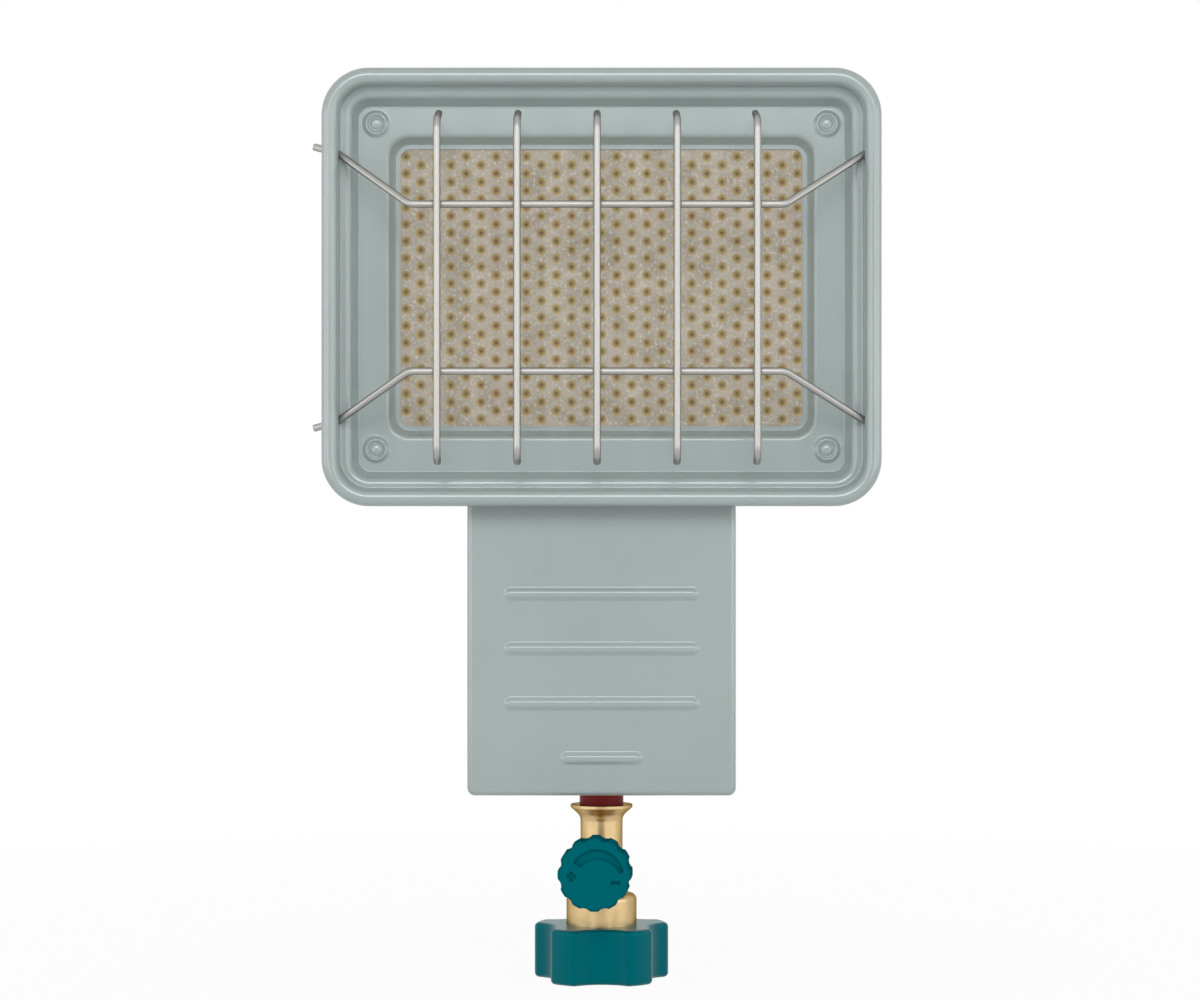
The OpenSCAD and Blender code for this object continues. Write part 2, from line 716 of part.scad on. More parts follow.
// Pan-head screws under the tube's flange
module tube_screws() {
    color(bright_steel) for (x = [-1, 1])
        translate([x * tube_screw_x, 0, chamber_floor_z - tube_flange_t]) {
            cylinder(r = screw_r, h = tube_flange_t + box_t + 2);
            difference() {
                translate([0, 0, -screw_head_h]) cylinder(r1 = screw_head_r * 0.8, r2 = screw_head_r, h = screw_head_h);
                translate([-screw_slot / 2, -screw_head_r - 1, -1.5 * screw_head_h])
                    cube([screw_slot, 2 * screw_head_r + 2, screw_head_h]);
            }
        }
}

module air_cage() {
    top = collar_z + cage_collar;
    color(brass) difference() {
        translate([0, 0, cage_z]) cylinder(r = cage_r, h = top - cage_z);
        translate([0, 0, cage_z - 1]) cylinder(r = spigot_r + seat_clear, h = cage_foot + 2);
        translate([0, 0, cage_z + cage_foot]) cylinder(r = bell_r + seat_clear, h = top);
        for (turn = [45:90:135]) rotate([0, 0, turn])
            translate([-cage_r - 1, -window_w / 2, window_z]) cube([2 * cage_r + 2, window_w, window_h]);
        translate([0, 0, collar_z + cage_collar / 2 + 0.5]) rotate([-90, 0, 0])
            cylinder(r = screw_r + seat_clear, h = cage_r + 2);
    }
}

// Grub screw with a slot that holds the tube in the cage's collar
module cage_screw() {
    color(bright_steel) translate([0, 0, collar_z + cage_collar / 2 + 0.5]) rotate([-90, 0, 0]) difference() {
        translate([0, 0, bell_r + seat_clear]) cylinder(r = screw_r, h = cage_t + 1.2);
        translate([-0.3, -2, bell_r + cage_t + 0.4]) cube([0.6, 4, 2]);
    }
}

module jet() {
    hex_h = jet_len * 0.45;
    color(brass) translate([0, 0, spigot_top]) difference() {
        union() {
            cylinder(d = jet_flats / cos(30), h = hex_h, $fn = 6);
            translate([0, 0, hex_h]) cylinder(r = jet_flats / 2 - 0.3, h = jet_len * 0.25);
            translate([0, 0, hex_h + jet_len * 0.25])
                cylinder(r1 = jet_flats / 2 - 0.3, r2 = 1.4, h = jet_len * 0.3);
            translate([0, 0, -5]) cylinder(r = gas_bore_r + 0.9, h = 5.5);
        }
        translate([0, 0, -6]) cylinder(r = 1.6, h = jet_len * 0.8 + 6);
        cylinder(r = 0.3, h = jet_len + 1);
    }
}

module red_seal() {
    color(red_rubber) translate([0, 0, cup_floor_z])
        ring(seal_r, spigot_r + seat_clear, neck_bottom - cup_floor_z);
}

module valve_body() {
    lip = 0.8;
    flare_low = flare_z - flare_h;
    outer = rounded_path(
        [[body_r, body_bottom], [body_r, flare_low + 1.6], [flare_r, flare_z - lip], [flare_r, flare_z]],
        [0, 3, 0, 0]);
    profile = concat([[0, body_bottom]], outer,
                     [[flare_r - 0.6, flare_z], [seal_r + 0.4, cup_floor_z], [spigot_r, cup_floor_z],
                      [spigot_r, spigot_top], [0, spigot_top]]);
    duct_r = 1.1;
    color(brass) difference() {
        union() {
            rotate_extrude() polygon(profile);
            on_spindle() cylinder(r = branch_r, h = branch_len);
        }
        translate([0, 0, body_bottom - 1]) cylinder(r = stem_thread_r + seat_clear, h = stem_thread_len + 1.5);
        translate([0, 0, body_bottom + stem_thread_len])
            rotate([0, 0, branch_turn]) translate([0, 2, 0]) cylinder(r = duct_r, h = branch_z - body_bottom - stem_thread_len);
        translate([0, 0, branch_z]) rotate([0, 0, branch_turn]) translate([0, -3.2, 0])
            cylinder(r = duct_r, h = cup_floor_z - 4 - branch_z);
        translate([0, 0, cup_floor_z - 7]) cylinder(r = gas_bore_r + 0.95, h = spigot_top);
        on_spindle() {
            translate([0, 0, -2 - duct_r]) cylinder(r = 0.9, h = seat_at + 2 + duct_r + 1);
            translate([0, 0, seat_at]) cylinder(r = spindle_thread_r + run_clear, h = branch_len);
            translate([0, 0, packing_at]) cylinder(r = gland_thread_r + seat_clear, h = branch_len);
        }
    }
}

module gland_packing() {
    color(black_rubber) on_spindle() translate([0, 0, packing_at])
        ring(gland_thread_r, spindle_r + run_clear, packing_t);
}

module gland_nut() {
    color(brass) on_spindle() difference() {
        union() {
            translate([0, 0, packing_at + packing_t])
                cylinder(r = gland_thread_r, h = branch_len - packing_at - packing_t + 0.5);
            translate([0, 0, branch_len]) intersection() {
                cylinder(d = gland_flats / cos(30), h = gland_h, $fn = 6);
                union() {
                    cylinder(r = gland_flats, h = gland_h - 1);
                    translate([0, 0, gland_h - 1])
                        cylinder(r1 = gland_flats / 2 + 1.1, r2 = gland_flats / 2 - 0.2, h = 1);
                }
            }
        }
        translate([0, 0, packing_at]) cylinder(r = spindle_r + run_clear, h = branch_len);
    }
}

// Soft foot of the spindle, which shuts the gas off
module seat_pad() {
    color(black_rubber) on_spindle() translate([0, 0, seat_at + seat_clear]) cylinder(r = pad_r, h = pad_t);
}

module spindle() {
    foot = seat_at + seat_clear + pad_t + seat_clear;
    thread_at = foot + 3;
    color(brass) on_spindle() difference() {
        union() {
            translate([0, 0, foot]) cylinder(r = pad_r, h = thread_at - foot);
            translate([0, 0, thread_at]) cylinder(r = spindle_thread_r, h = packing_at - thread_at - stroke - 0.5);
            translate([0, 0, thread_at]) cylinder(r = spindle_r, h = spindle_end - thread_at);
        }
        translate([-spindle_r, spindle_r * 0.5, gland_end + 1]) cube([2 * spindle_r, spindle_r, spindle_end]);
    }
}

module knob() {
    hub_r = spindle_r + 2;
    hollow_at = knob_r + knob_hollow_r - knob_hollow_depth;
    edge = 1.8;
    spare = 0.3;
    groove_r = knob_r * 0.78;
    cheese = rounded_path([[0, 0], [knob_r + spare, 0], [knob_r + spare, knob_h], [0, knob_h]],
                          [0, 0.8, edge, 0]);
    color(teal) on_spindle() difference() {
        union() {
            translate([0, 0, knob_back]) intersection() {
                linear_extrude(knob_h) difference() {
                    circle(knob_r);
                    for (i = [0:knob_lobes - 1]) rotate([0, 0, 360 / knob_lobes * (i + 0.5)])
                        translate([hollow_at, 0]) circle(knob_hollow_r);
                }
                rotate_extrude() polygon(cheese);
            }
            translate([0, 0, knob_back - 2.5]) cylinder(r = hub_r, h = 3);
        }
        translate([0, 0, knob_back - 1]) ring(knob_r - knob_t - knob_hollow_depth, hub_r, knob_h - knob_t - 1);
        difference() {
            cylinder(r = spindle_r + seat_clear, h = spindle_end + seat_clear);
            translate([-spindle_r - 1, spindle_r * 0.5 + seat_clear, 0])
                cube([2 * spindle_r + 2, spindle_r, spindle_end + 1]);
        }
        // Wedge-shaped groove that shows which way the flame grows
        translate([0, 0, knob_front - groove_depth]) linear_extrude(2 * groove_depth) intersection() {
            difference() {
                circle(groove_r);
                translate([0.6, -0.7]) circle(groove_r - 1.6);
            }
            polygon([[0, 0], [3 * knob_r * cos(22), 3 * knob_r * sin(22)], [0, 3 * knob_r],
                     [3 * knob_r * cos(141), 3 * knob_r * sin(141)]]);
        }
    }
}

// ---------- bottle connection ----------

module connector_stem() {
    stem_top = body_bottom;
    color(brass) difference() {
        union() {
            translate([0, 0, head_z]) cylinder(r = head_r, h = head_h - 1);
            translate([0, 0, head_z + head_h - 1]) cylinder(r1 = head_r, r2 = head_r - 1, h = 1);
            translate([0, 0, head_z]) cylinder(r = stem_r, h = stem_top - head_z);
            translate([0, 0, head_z]) cylinder(r = stem_thread_r, h = stem_top + stem_thread_len - head_z);
        }
        translate([0, 0, head_z - 1]) cylinder(r = gas_bore_r, h = shoulder_z + stem_thread_len + 8);
        translate([0, 0, head_z - 1]) cylinder(r = gas_bore_r + 1.2, h = 4);
    }
}

// Sintered disc in the mouth of the connector
module inlet_filter() {
    color("#a5895f") translate([0, 0, head_z + 0.4]) cylinder(r = gas_bore_r + 1.2 - seat_clear, h = 2.5);
}

module sealing_washer() {
    color(black_rubber) translate([0, 0, washer_z]) ring(head_r - 1.4, gas_bore_r + 1, washer_t);
}

module union_nut() {
    top_edge = 2;
    shoulder = rounded_path(
        [[0, hand_h - 1], [shoulder_r, hand_h - 1], [shoulder_r, shoulder_z], [0, shoulder_z]],
        [0, 0, top_edge, 0]);
    color(brass) difference() {
        union() {
            cylinder(d = nut_flats / cos(30), h = hand_h - 0.5, $fn = 6);
            rotate_extrude() polygon(shoulder);
        }
        translate([0, 0, -1]) cylinder(r = thread_r, h = thread_len + 2);
        translate([0, 0, thread_len]) cylinder(r = thread_r + 0.4, h = head_z - thread_len);
        translate([0, 0, thread_len]) cylinder(r = head_r + 0.4, h = shoulder_in_z - thread_len);
        cylinder(r = stem_r + run_clear, h = shoulder_z + 1);
    }
}

module hand_nut() {
    edge = 1.6;
    hollow_at = [hand_waist_r + hand_hollow_r, 0];
    meeting = hand_edge + (hand_edge_r - lap / 2) * unit(hollow_at - hand_edge);
    mouth = [hand_edge, 2 * hand_edge, [2 * hand_edge.x, -2 * hand_edge.y], [hand_edge.x, -hand_edge.y],
             [meeting.x, -meeting.y], meeting];
    cheese = rounded_path([[0, 0], [hand_r, 0], [hand_r, hand_h], [0, hand_h]], [0, edge, edge, 0]);
    color(teal) difference() {
        intersection() {
            linear_extrude(hand_h) difference() {
                union() {
                    difference() {
                        circle(hand_r + 1);
                        for (i = [0:hand_lobes - 1]) rotate([0, 0, 360 / hand_lobes * i - 90]) polygon(mouth);
                    }
                    for (i = [0:hand_lobes - 1], side = [-1, 1]) rotate([0, 0, 360 / hand_lobes * i - 90])
                        translate([hand_edge.x, side * hand_edge.y]) circle(hand_edge_r);
                }
                for (i = [0:hand_lobes - 1]) rotate([0, 0, 360 / hand_lobes * i - 90])
                    translate(hollow_at) circle(hand_hollow_r);
            }
            rotate_extrude() polygon(cheese);
        }
        translate([0, 0, -1]) cylinder(d = (nut_flats + 2 * seat_clear) / cos(30), h = hand_h + 0.5, $fn = 6);
        translate([0, 0, -1]) cylinder(r = shoulder_r + seat_clear, h = hand_h + 2);
    }
}

// ---------- guard ----------

module guard_cross_wires() {
    color(bright_steel) for (z = [-1, 1])
        bent_wire([side_hole(-1, z) + stub_left * stub_way(-1, z), side_hole(-1, z), cross_corner(-1, z),
                   cross_corner(1, z), side_hole(1, z), side_hole(1, z) + stub_right * stub_way(1, z)],
                  wire_r, wire_bend_r + wire_r);
}

module guard_uprights() {
    top = guard_z + cross_pitch / 2 + upright_top;
    low = guard_z - cross_pitch / 2 - upright_foot;
    color(bright_steel) for (i = [0:upright_count - 1]) {
        x = (i - (upright_count - 1) / 2) * upright_pitch - guard_left;
        bent_wire([[x, upright_y + upright_hook, top], [x, upright_y, top - upright_hook * 0.25],
                   [x, upright_y, low + upright_toe * 0.5], [x, upright_y + upright_toe, low]],
                  wire_r, wire_bend_r + wire_r);
    }
}

reflector();
corner_rivets();
burner_box();
ceramic_plaque();
plaque_gasket();
baffle();
mixing_tube();
tube_screws();
neck_cover();
air_cage();
cage_screw();
jet();
red_seal();
guard_cross_wires();
guard_uprights();
valve_body();
gland_packing();
gland_nut();
seat_pad();
spindle();
knob();
connector_stem();
inlet_filter();
sealing_washer();
union_nut();
hand_nut();
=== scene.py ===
"""Radiant gas heater: its finished surfaces and detailed pieces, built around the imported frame."""

import math

import bmesh
import bpy
from mathutils import Matrix, Vector


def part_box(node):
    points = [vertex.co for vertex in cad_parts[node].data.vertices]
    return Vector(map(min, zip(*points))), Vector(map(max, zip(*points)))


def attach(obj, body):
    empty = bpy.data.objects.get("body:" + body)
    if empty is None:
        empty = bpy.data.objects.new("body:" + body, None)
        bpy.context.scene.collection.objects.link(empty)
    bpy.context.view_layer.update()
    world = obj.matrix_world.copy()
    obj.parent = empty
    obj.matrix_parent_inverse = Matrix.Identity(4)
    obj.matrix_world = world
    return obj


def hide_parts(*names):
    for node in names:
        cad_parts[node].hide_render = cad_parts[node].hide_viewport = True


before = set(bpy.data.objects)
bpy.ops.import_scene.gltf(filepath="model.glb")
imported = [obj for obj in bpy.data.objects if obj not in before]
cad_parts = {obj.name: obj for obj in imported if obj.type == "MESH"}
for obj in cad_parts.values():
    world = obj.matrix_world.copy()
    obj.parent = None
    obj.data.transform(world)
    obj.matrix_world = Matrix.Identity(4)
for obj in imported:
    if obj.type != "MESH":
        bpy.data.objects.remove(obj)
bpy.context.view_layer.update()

bl_info = {
    "name": "Radiant gas heater",
    "version": (1, 0, 0),
    "blender": (4, 5, 0),
    "location": "3D View > Sidebar > Heater",
    "description": "Pressed tray, ceramic burner, wire guard, neck, valve and nuts of a small gas heater",
    "category": "Object",
}

MM = 0.001
QUARTER = math.pi / 2
FRONT = Vector((0, -1, 0))
BACK = Vector((0, 1, 0))
UP = Vector((0, 0, 1))
# Points nearer than this count as one
TOUCH = 1e-5
# Running clearance between a hole and what it holds
PLAY = 0.05 * MM
# Half the angle between two corners of a hexagon
HEXAGON = math.pi / 6
# Sides of the four corners along X and Z
CORNERS = ((-1, -1), (-1, 1), (1, -1), (1, 1))


# ---------- properties ----------


def length(name, note, millimetres):
    """A length whose default is given in millimetres."""
    return bpy.props.FloatProperty(
        name=name, description=note, default=millimetres * MM,
        subtype="DISTANCE", unit="LENGTH", precision=5)


def turn(name, note, degrees):
    """An angle whose default is given in degrees."""
    return bpy.props.FloatProperty(
        name=name, description=note, default=math.radians(degrees), subtype="ANGLE", unit="ROTATION")


def amount(name, note, default):
    """A whole number of like features."""
    return bpy.props.IntProperty(name=name, description=note, default=default, min=1)


def number(name, note, default, unit="NONE"):
    """A plain number, or one in this unit."""
    return bpy.props.FloatProperty(name=name, description=note, default=default, unit=unit)


def colour(name, note, red, green, blue):
    """A colour whose default is given as display values from 0 to 255."""
    linear = [((c / 255 + 0.055) / 1.055) ** 2.4 if c > 10 else c / 3294.6 for c in (red, green, blue)]
    return bpy.props.FloatVectorProperty(
        name=name, description=note, default=linear, size=3, subtype="COLOR", min=0, max=1)


class TraySizes(bpy.types.PropertyGroup):
    """The pressed reflector tray, measured inward from its edge and back from its crest."""

    sheet: length("Sheet", "Thickness of the tray's sheet", 0.8)
    corner: length("Corner", "Outer corner radius of the tray", 15)
    roll: length("Rim roll", "Outer radius of the rolled rim", 2.7)
    hem: length("Hem", "Reach of the rim's hem behind the crest", 4.4)
    ledge_edge: length("Ledge edge", "Inset of the ledge's inner edge", 8.7)
    ledge_depth: length("Ledge depth", "Depth of the ledge", 7.5)
    floor_edge: length("Floor edge", "Inset of the floor's outer edge", 10.9)
    floor_depth: length("Floor depth", "Depth of the floor", 14)
    recess_apron: length("Recess apron", "Flat strip of floor round the recess", 2)
    recess_side: length("Recess side", "Reach of the recess past the plaque's side, apron left out", 2.35)
    recess_run: length("Recess run", "Run of the recess's sloped wall", 2.2)
    recess_depth: length("Recess depth", "Depth of the recess behind the floor", 5)
    recess_corner: length("Recess corner", "Corner radius of the recess", 7)
    window_lip: length("Window lip", "How far the lip laps over the plaque", 1.55)
    boss: length("Boss", "Radius of a corner boss with its flat edge", 4.8)
    boss_height: length("Boss height", "Height of a corner boss", 1.1)
    dimple: length("Dimple", "Depth of the dimple in a boss", 0.7)
    wire_hole: length("Wire hole", "Radius of the holes for the guard's wires", 1.7)
    wire_hole_rise: length("Wire hole rise", "Height of those holes above and below the tray's middle", 42.4)
    wire_hole_depth: length("Wire hole depth", "Depth of those holes behind the crest", 5.1)


class RivetSizes(bpy.types.PropertyGroup):
    """The rivets that hold the burner box to the tray."""

    across: length("Across", "Distance of a rivet from the middle along X", 72)
    above: length("Above", "Distance of a rivet from the burner's middle along Z", 52)
    shank: length("Shank", "Shank radius", 1.3)
    head: length("Head", "Head radius", 2)
    crown: length("Crown", "Height of the head", 0.75)
    tail: length("Tail", "Radius of the closed end", 2.2)


class PlaqueSizes(bpy.types.PropertyGroup):
    """The ceramic plaque and the lattice of pits in its face."""

    column: length("Column", "Distance between two columns of pits", 4.84)
    pitch: length("Pitch", "Distance between two pits in a column", 5.44)
    columns: amount("Columns", "Number of columns", 27)
    rows: amount("Rows", "Number of pits in a column", 16)
    pit: length("Pit", "Radius of a pit", 2.05)
    pit_depth: length("Pit depth", "Depth of a pit", 1.4)
    hole: length("Hole", "Radius of the gas hole in a pit's floor", 0.5)
    hole_depth: length("Hole depth", "Depth of the gas hole that is modelled", 2)


class GuardSizes(bpy.types.PropertyGroup):
    """The wire guard."""

    wire: length("Wire", "Radius of the wire", 1.15)
    bend: length("Bend", "Bend radius of the wire's middle", 4.15)
    left: length("Left", "How far the guard sits to the left", 1.4)
    middle: length("Middle", "Height of the guard's middle", 223)
    reach: length("Reach", "Distance of the cross wires in front of the rim", 12.6)
    cross_half: length("Cross half", "Half the straight length of a cross wire", 58.6)
    cross_pitch: length("Cross pitch", "Distance between the cross wires", 52)
    stub_left: length("Left stub", "Length of a wire's end past the left side wall", 8.5)
    stub_right: length("Right stub", "Length of a wire's end past the right side wall", 4.2)
    stub_slope: number("Stub slope", "Slope of the wires' ends past the side walls", 0.43)
    uprights: amount("Uprights", "Number of upright wires", 5)
    upright_pitch: length("Upright pitch", "Distance between two upright wires", 24.9)
    upright_top: length("Upright top", "Height of the uprights' tops above the guard's middle", 55.6)
    upright_foot: length("Upright foot", "Drop of the uprights' feet below the guard's middle", 54.3)
    hook: length("Hook", "Reach of the bent top ends", 14)
    toe: length("Toe", "Reach of the bent feet", 5)
    weld: length("Weld", "Half length of a weld's bead", 1.5)


class NeckSizes(bpy.types.PropertyGroup):
    """The folded neck cover with its stiffening beads."""

    sheet: length("Sheet", "Thickness of the neck's sheet", 0.8)
    corner: length("Corner", "Radius of the lower corners", 2.5)
    fold: length("Fold", "Radius of the front edges", 1.7)
    bead: length("Bead", "Half width of a bead at its foot", 2.5)
    bead_height: length("Bead height", "Height of a bead", 1)
    bead_long: length("Long bead", "Length of a long bead", 63)
    bead_short: length("Short bead", "Length of the short bead", 27)
    bead_low: length("Lowest bead", "Height of the lowest bead above the neck's edge", 12)
    bead_pitch: length("Bead pitch", "Distance between two beads", 17.5)
    beads: amount("Long beads", "Number of long beads", 3)
    hole: length("Hole", "Radius of the hole for the threaded spigot", 5.3)


class BoxSizes(bpy.types.PropertyGroup):
    """The stepped burner box behind the tray."""

    sheet: length("Sheet", "Thickness of the box's sheet", 0.7)
    flange_corner: length("Flange corner", "Corner radius of the flange", 6)
    wall: length("Wall", "Inset of the outer wall from the flange's edge", 6.95)
    lead: length("Lead", "Flat strip of the flange beside the outer wall", 1.6)
    corner: length("Corner", "Corner radius of the outer wall", 9)
    step_depth: length("Step", "Depth of the step's outside behind the tray", 18.7)
    step: length("Step width", "Width of the step", 5.5)
    notch: length("Notch", "Width of the flange's notch that the neck passes", 87)
    tube: length("Tube", "Outer radius of the mixing tube", 7)
    panel: length("Panel", "Distance of the pressed panel from the inner wall", 13.7)
    panel_corner: length("Panel corner", "Corner radius of the pressed panel", 10)
    panel_height: length("Panel height", "Height of the pressed panel", 1)


class ValveSizes(bpy.types.PropertyGroup):
    """The brass valve body with its flared cup and side branch."""

    body: length("Body", "Radius of the body", 6.9)
    flare: length("Flare", "Outer radius of the flared cup", 10.15)
    flare_height: length("Flare height", "Height of the flare", 5.2)
    cup_depth: length("Cup depth", "Depth of the cup", 1.8)
    lip: length("Lip", "Thickness of the cup's lip", 0.7)
    flare_edge: length("Flare edge", "Height of the cup's lip above the nut's mouth", 57.1)
    spigot: length("Spigot", "Radius of the threaded spigot", 5)
    branch: length("Branch", "Radius of the side branch", 6.2)
    branch_length: length("Branch length", "Length of the side branch from the pipe's axis", 18)
    branch_height: length("Branch height", "Height of the side branch", 38.2)
    branch_turn: turn("Branch turn", "Turn of the side branch away from straight ahead", -3.5)
    seal: length("Seal", "Outer radius of the red seal", 7.2)


class KnobSizes(bpy.types.PropertyGroup):
    """The scalloped knob."""

    radius: length("Radius", "Radius over the lobes", 11.7)
    back: length("Back", "Distance of the knob's back from the pipe's axis", 27)
    height: length("Height", "Length of the knob's rim", 12.5)
    lobes: amount("Lobes", "Number of grip lobes", 12)
    hollow: length("Hollow", "Radius of the hollows between the lobes", 2.6)
    hollow_depth: length("Hollow depth", "Depth of the hollows", 0.8)
    wall: length("Wall", "Wall thickness", 2)
    edge: length("Edge", "Radius of the front edge", 1.7)
    hub: length("Hub", "Radius of the hub", 5)
    bore: length("Bore", "Radius of the spindle's hole", 3.05)
    cap: length("Cap", "Thickness of the knob's face over that hole", 2.8)
    groove: length("Groove", "Outer radius of the wedge groove", 8.5)
    groove_core: length("Groove core", "Inner radius of the wedge groove", 7.5)
    groove_depth: length("Groove depth", "Depth of the wedge groove", 1.3)
    groove_start: turn("Groove start", "Angle of the groove's right end", 6)
    groove_end: turn("Groove end", "Angle of the groove's left end", 150)
    mark: length("Mark", "Length of the plus and minus marks", 2.9)
    mark_width: length("Mark width", "Width of the marks' strokes", 1.1)
    mark_at: length("Mark place", "Distance of the marks from the knob's middle", 7.2)
    plus_turn: turn("Plus", "Angle of the plus mark", 183)
    minus_turn: turn("Minus", "Angle of the minus mark", -19)


class NutSizes(bpy.types.PropertyGroup):
    """The brass nut and the lobed hand nut over it."""

    shoulder: length("Shoulder", "Radius of the brass shoulder", 11.5)
    shoulder_top: length("Shoulder top", "Height of the brass shoulder", 27.9)
    flats: length("Flats", "Size of the brass hexagon across its flats", 25.4)
    hexagon_top: length("Hexagon top", "Height of the brass hexagon", 17.5)
    thread_radius: length("Thread radius", "Mean radius of the inner thread", 10.3)
    thread_length: length("Thread length", "Length of the inner thread", 12.3)
    thread_pitch: length("Thread pitch", "Pitch of the inner thread", 1.8)
    stem_hole: length("Stem hole", "Radius of the hole that the stem passes", 5.55)
    stem_head: length("Stem head", "Height of the shelf over the stem's foot", 4.9)
    height: length("Height", "Height of the hand nut", 18)
    lobes: amount("Lobes", "Number of lobes", 5)
    radius: length("Radius", "Radius over the lobes", 22.2)
    lobe_width: length("Lobe width", "Width of a lobe", 11.2)
    lobe_edge: length("Lobe edge", "Radius of a lobe's rounded edges", 2.5)
    waist: length("Waist", "Least radius of the hand nut", 16.8)
    edge: length("Edge", "Radius of the rounded rims", 1.5)


class FinishColours(bpy.types.PropertyGroup):
    """Colours of the heater's finishes."""

    paint: colour("Paint", "Grey-green enamel of the tray and neck", 152, 165, 164)
    plaque: colour("Plaque", "Raised webs of the ceramic plaque", 178, 170, 156)
    fleck: colour("Fleck", "Pale flecks of the plaque's webs", 206, 200, 187)
    # The plaque's finish turns this pit tint into painted shade: lighter at a pit's rim, darker deeper down
    pit: colour("Pit", "Walls of the plaque's pits", 174, 156, 116)
    wire: colour("Wire", "Bright plating of the guard", 170, 169, 165)
    steel: colour("Steel", "Aluminised steel of the burner box", 178, 182, 182)
    brass: colour("Brass", "Turned brass", 208, 181, 134)
    plastic: colour("Plastic", "Teal plastic of the knob and hand nut", 0, 95, 104)
    seal: colour("Seal", "Red seal", 140, 22, 20)
    rubber: colour("Rubber", "Black rubber of the inner seals", 34, 35, 37)
    fibre: colour("Fibre", "White fibre gasket", 226, 222, 210)


class StudioSettings(bpy.types.PropertyGroup):
    """Camera and light of the studio."""

    camera_across: length("Camera X", "Camera place to the right of the heater's middle", -0.5)
    camera_ahead: length("Camera distance", "Camera distance in front of the pipe's axis", 1063)
    camera_height: length("Camera height", "Camera height above the nut's foot", 156.9)
    lens: number("Lens", "Focal length in millimetres", 97.14, "CAMERA")
    key: number("Key light", "Power of the light above the camera", 6.9, "POWER")
    side: number("Side lights", "Power of each side light", 2.8, "POWER")
    strip: number("Strip lights", "Power of each strip light in front", 1.7, "POWER")
    ambient: number("Ambient", "Brightness of the light from all round", 0.32)
    room: number("Room", "Brightness of the room that the front side mirrors", 0.7)


GROUPS = {
    "heater_tray": TraySizes,
    "heater_rivets": RivetSizes,
    "heater_plaque": PlaqueSizes,
    "heater_guard": GuardSizes,
    "heater_neck": NeckSizes,
    "heater_box": BoxSizes,
    "heater_valve": ValveSizes,
    "heater_knob": KnobSizes,
    "heater_nuts": NutSizes,
    "heater_finishes": FinishColours,
    "heater_studio": StudioSettings,
}


def sizes(group):
    """The scene's values for one group of pieces."""
    return getattr(bpy.context.scene, "heater_" + group)


# ---------- modelling ----------


def only(piece):
    """Makes a piece the one that is selected and active."""
    bpy.ops.object.select_all(action="DESELECT")
    piece.select_set(True)
    bpy.context.view_layer.objects.active = piece


def begin(name):
    """An empty piece at the origin, in edit mode."""
    bpy.ops.object.select_all(action="DESELECT")
    bpy.ops.mesh.primitive_plane_add(size=MM)
    piece = bpy.context.object
    piece.name = piece.data.name = name
    bpy.ops.object.mode_set(mode="EDIT")
    bpy.ops.mesh.select_all(action="SELECT")
    bpy.ops.mesh.delete(type="VERT")
    return piece


def end():
    """Leaves edit mode."""
    bpy.ops.object.mode_set(mode="OBJECT")


def edit(piece):
    """Opens a finished piece in edit mode."""
    only(piece)
    bpy.ops.object.mode_set(mode="EDIT")


def choose(piece, kind, test):
    """Selects the vertices, edges or faces that pass a test, in edit mode."""
    bpy.ops.mesh.select_mode(type={"verts": "VERT", "edges": "EDGE", "faces": "FACE"}[kind])
    bpy.ops.mesh.select_all(action="DESELECT")
    mesh = bmesh.from_edit_mesh(piece.data)
    for part in getattr(mesh, kind):
        if test(part):
            part.select_set(True)
    bmesh.update_edit_mesh(piece.data)


def lies_at(part, y):
    """Whether an edge or a face lies in the plane at depth y."""
    return all(abs(vert.co.y - y) < TOUCH for vert in part.verts)


def loose_rim(y):
    """A test for the open edges that lie in the plane at depth y."""
    return lambda edge: len(edge.link_faces) < 2 and lies_at(edge, y)


def merge(threshold=TOUCH / 10):
    """Merges the doubles of the mesh in edit mode."""
    bpy.ops.mesh.select_all(action="SELECT")
    bpy.ops.mesh.remove_doubles(threshold=threshold)


def outward():
    """Turns the faces of the mesh in edit mode outward."""
    bpy.ops.mesh.select_all(action="SELECT")
    bpy.ops.mesh.normals_make_consistent(inside=False)


def around(radius, angle):
    """The point at this distance and angle round +Z."""
    return radius * Vector((math.cos(angle), math.sin(angle), 0))


def bent(points, radii, steps=6):
    """A path through points, each inner corner rounded by its own radius."""
    points = [Vector(p) for p in points]
    path = [points[0]]
    for before, corner, after, radius in zip(points, points[1:], points[2:], radii):
        if not radius:
            path.append(corner)
            continue
        a, b = (before - corner).normalized(), (after - corner).normalized()
        half = a.angle(b) / 2
        centre = corner + (a + b).normalized() * radius / math.sin(half)
        first = corner + a * radius / math.tan(half) - centre
        last = corner + b * radius / math.tan(half) - centre
        start = math.atan2(first.y, first.x)
        sweep = math.remainder(math.atan2(last.y, last.x) - start, math.tau)
        for i in range(steps + 1):
            angle = start + sweep * i / steps
            point = centre + radius * Vector((math.cos(angle), math.sin(angle)))
            if (point - path[-1]).length > TOUCH / 10:
                path.append(point)
    path.append(points[-1])
    return path


def flat_plate(width, height, corner, centre, facing=FRONT, steps=16):
    """Adds a rounded rectangle to the mesh in edit mode and leaves its face selected."""
    lean = QUARTER if facing == FRONT else -QUARTER
    bpy.ops.mesh.select_mode(type="VERT")
    bpy.ops.mesh.primitive_plane_add(size=1, location=centre, rotation=(lean, 0, 0))
    bpy.ops.transform.resize(value=(width, 1, height), center_override=centre)
    bpy.ops.mesh.bevel(offset=corner, segments=steps, affect="VERTICES", profile=0.5)
    bpy.ops.mesh.select_mode(type="FACE")


def flat_disc(radius, centre, facing=FRONT, sides=48):
    """Adds a round face to the mesh in edit mode and leaves it selected."""
    lean = QUARTER if facing == FRONT else -QUARTER
    bpy.ops.mesh.primitive_circle_add(
        vertices=sides, radius=radius, fill_type="NGON", location=centre, rotation=(lean, 0, 0))
    bpy.ops.mesh.select_mode(type="FACE")


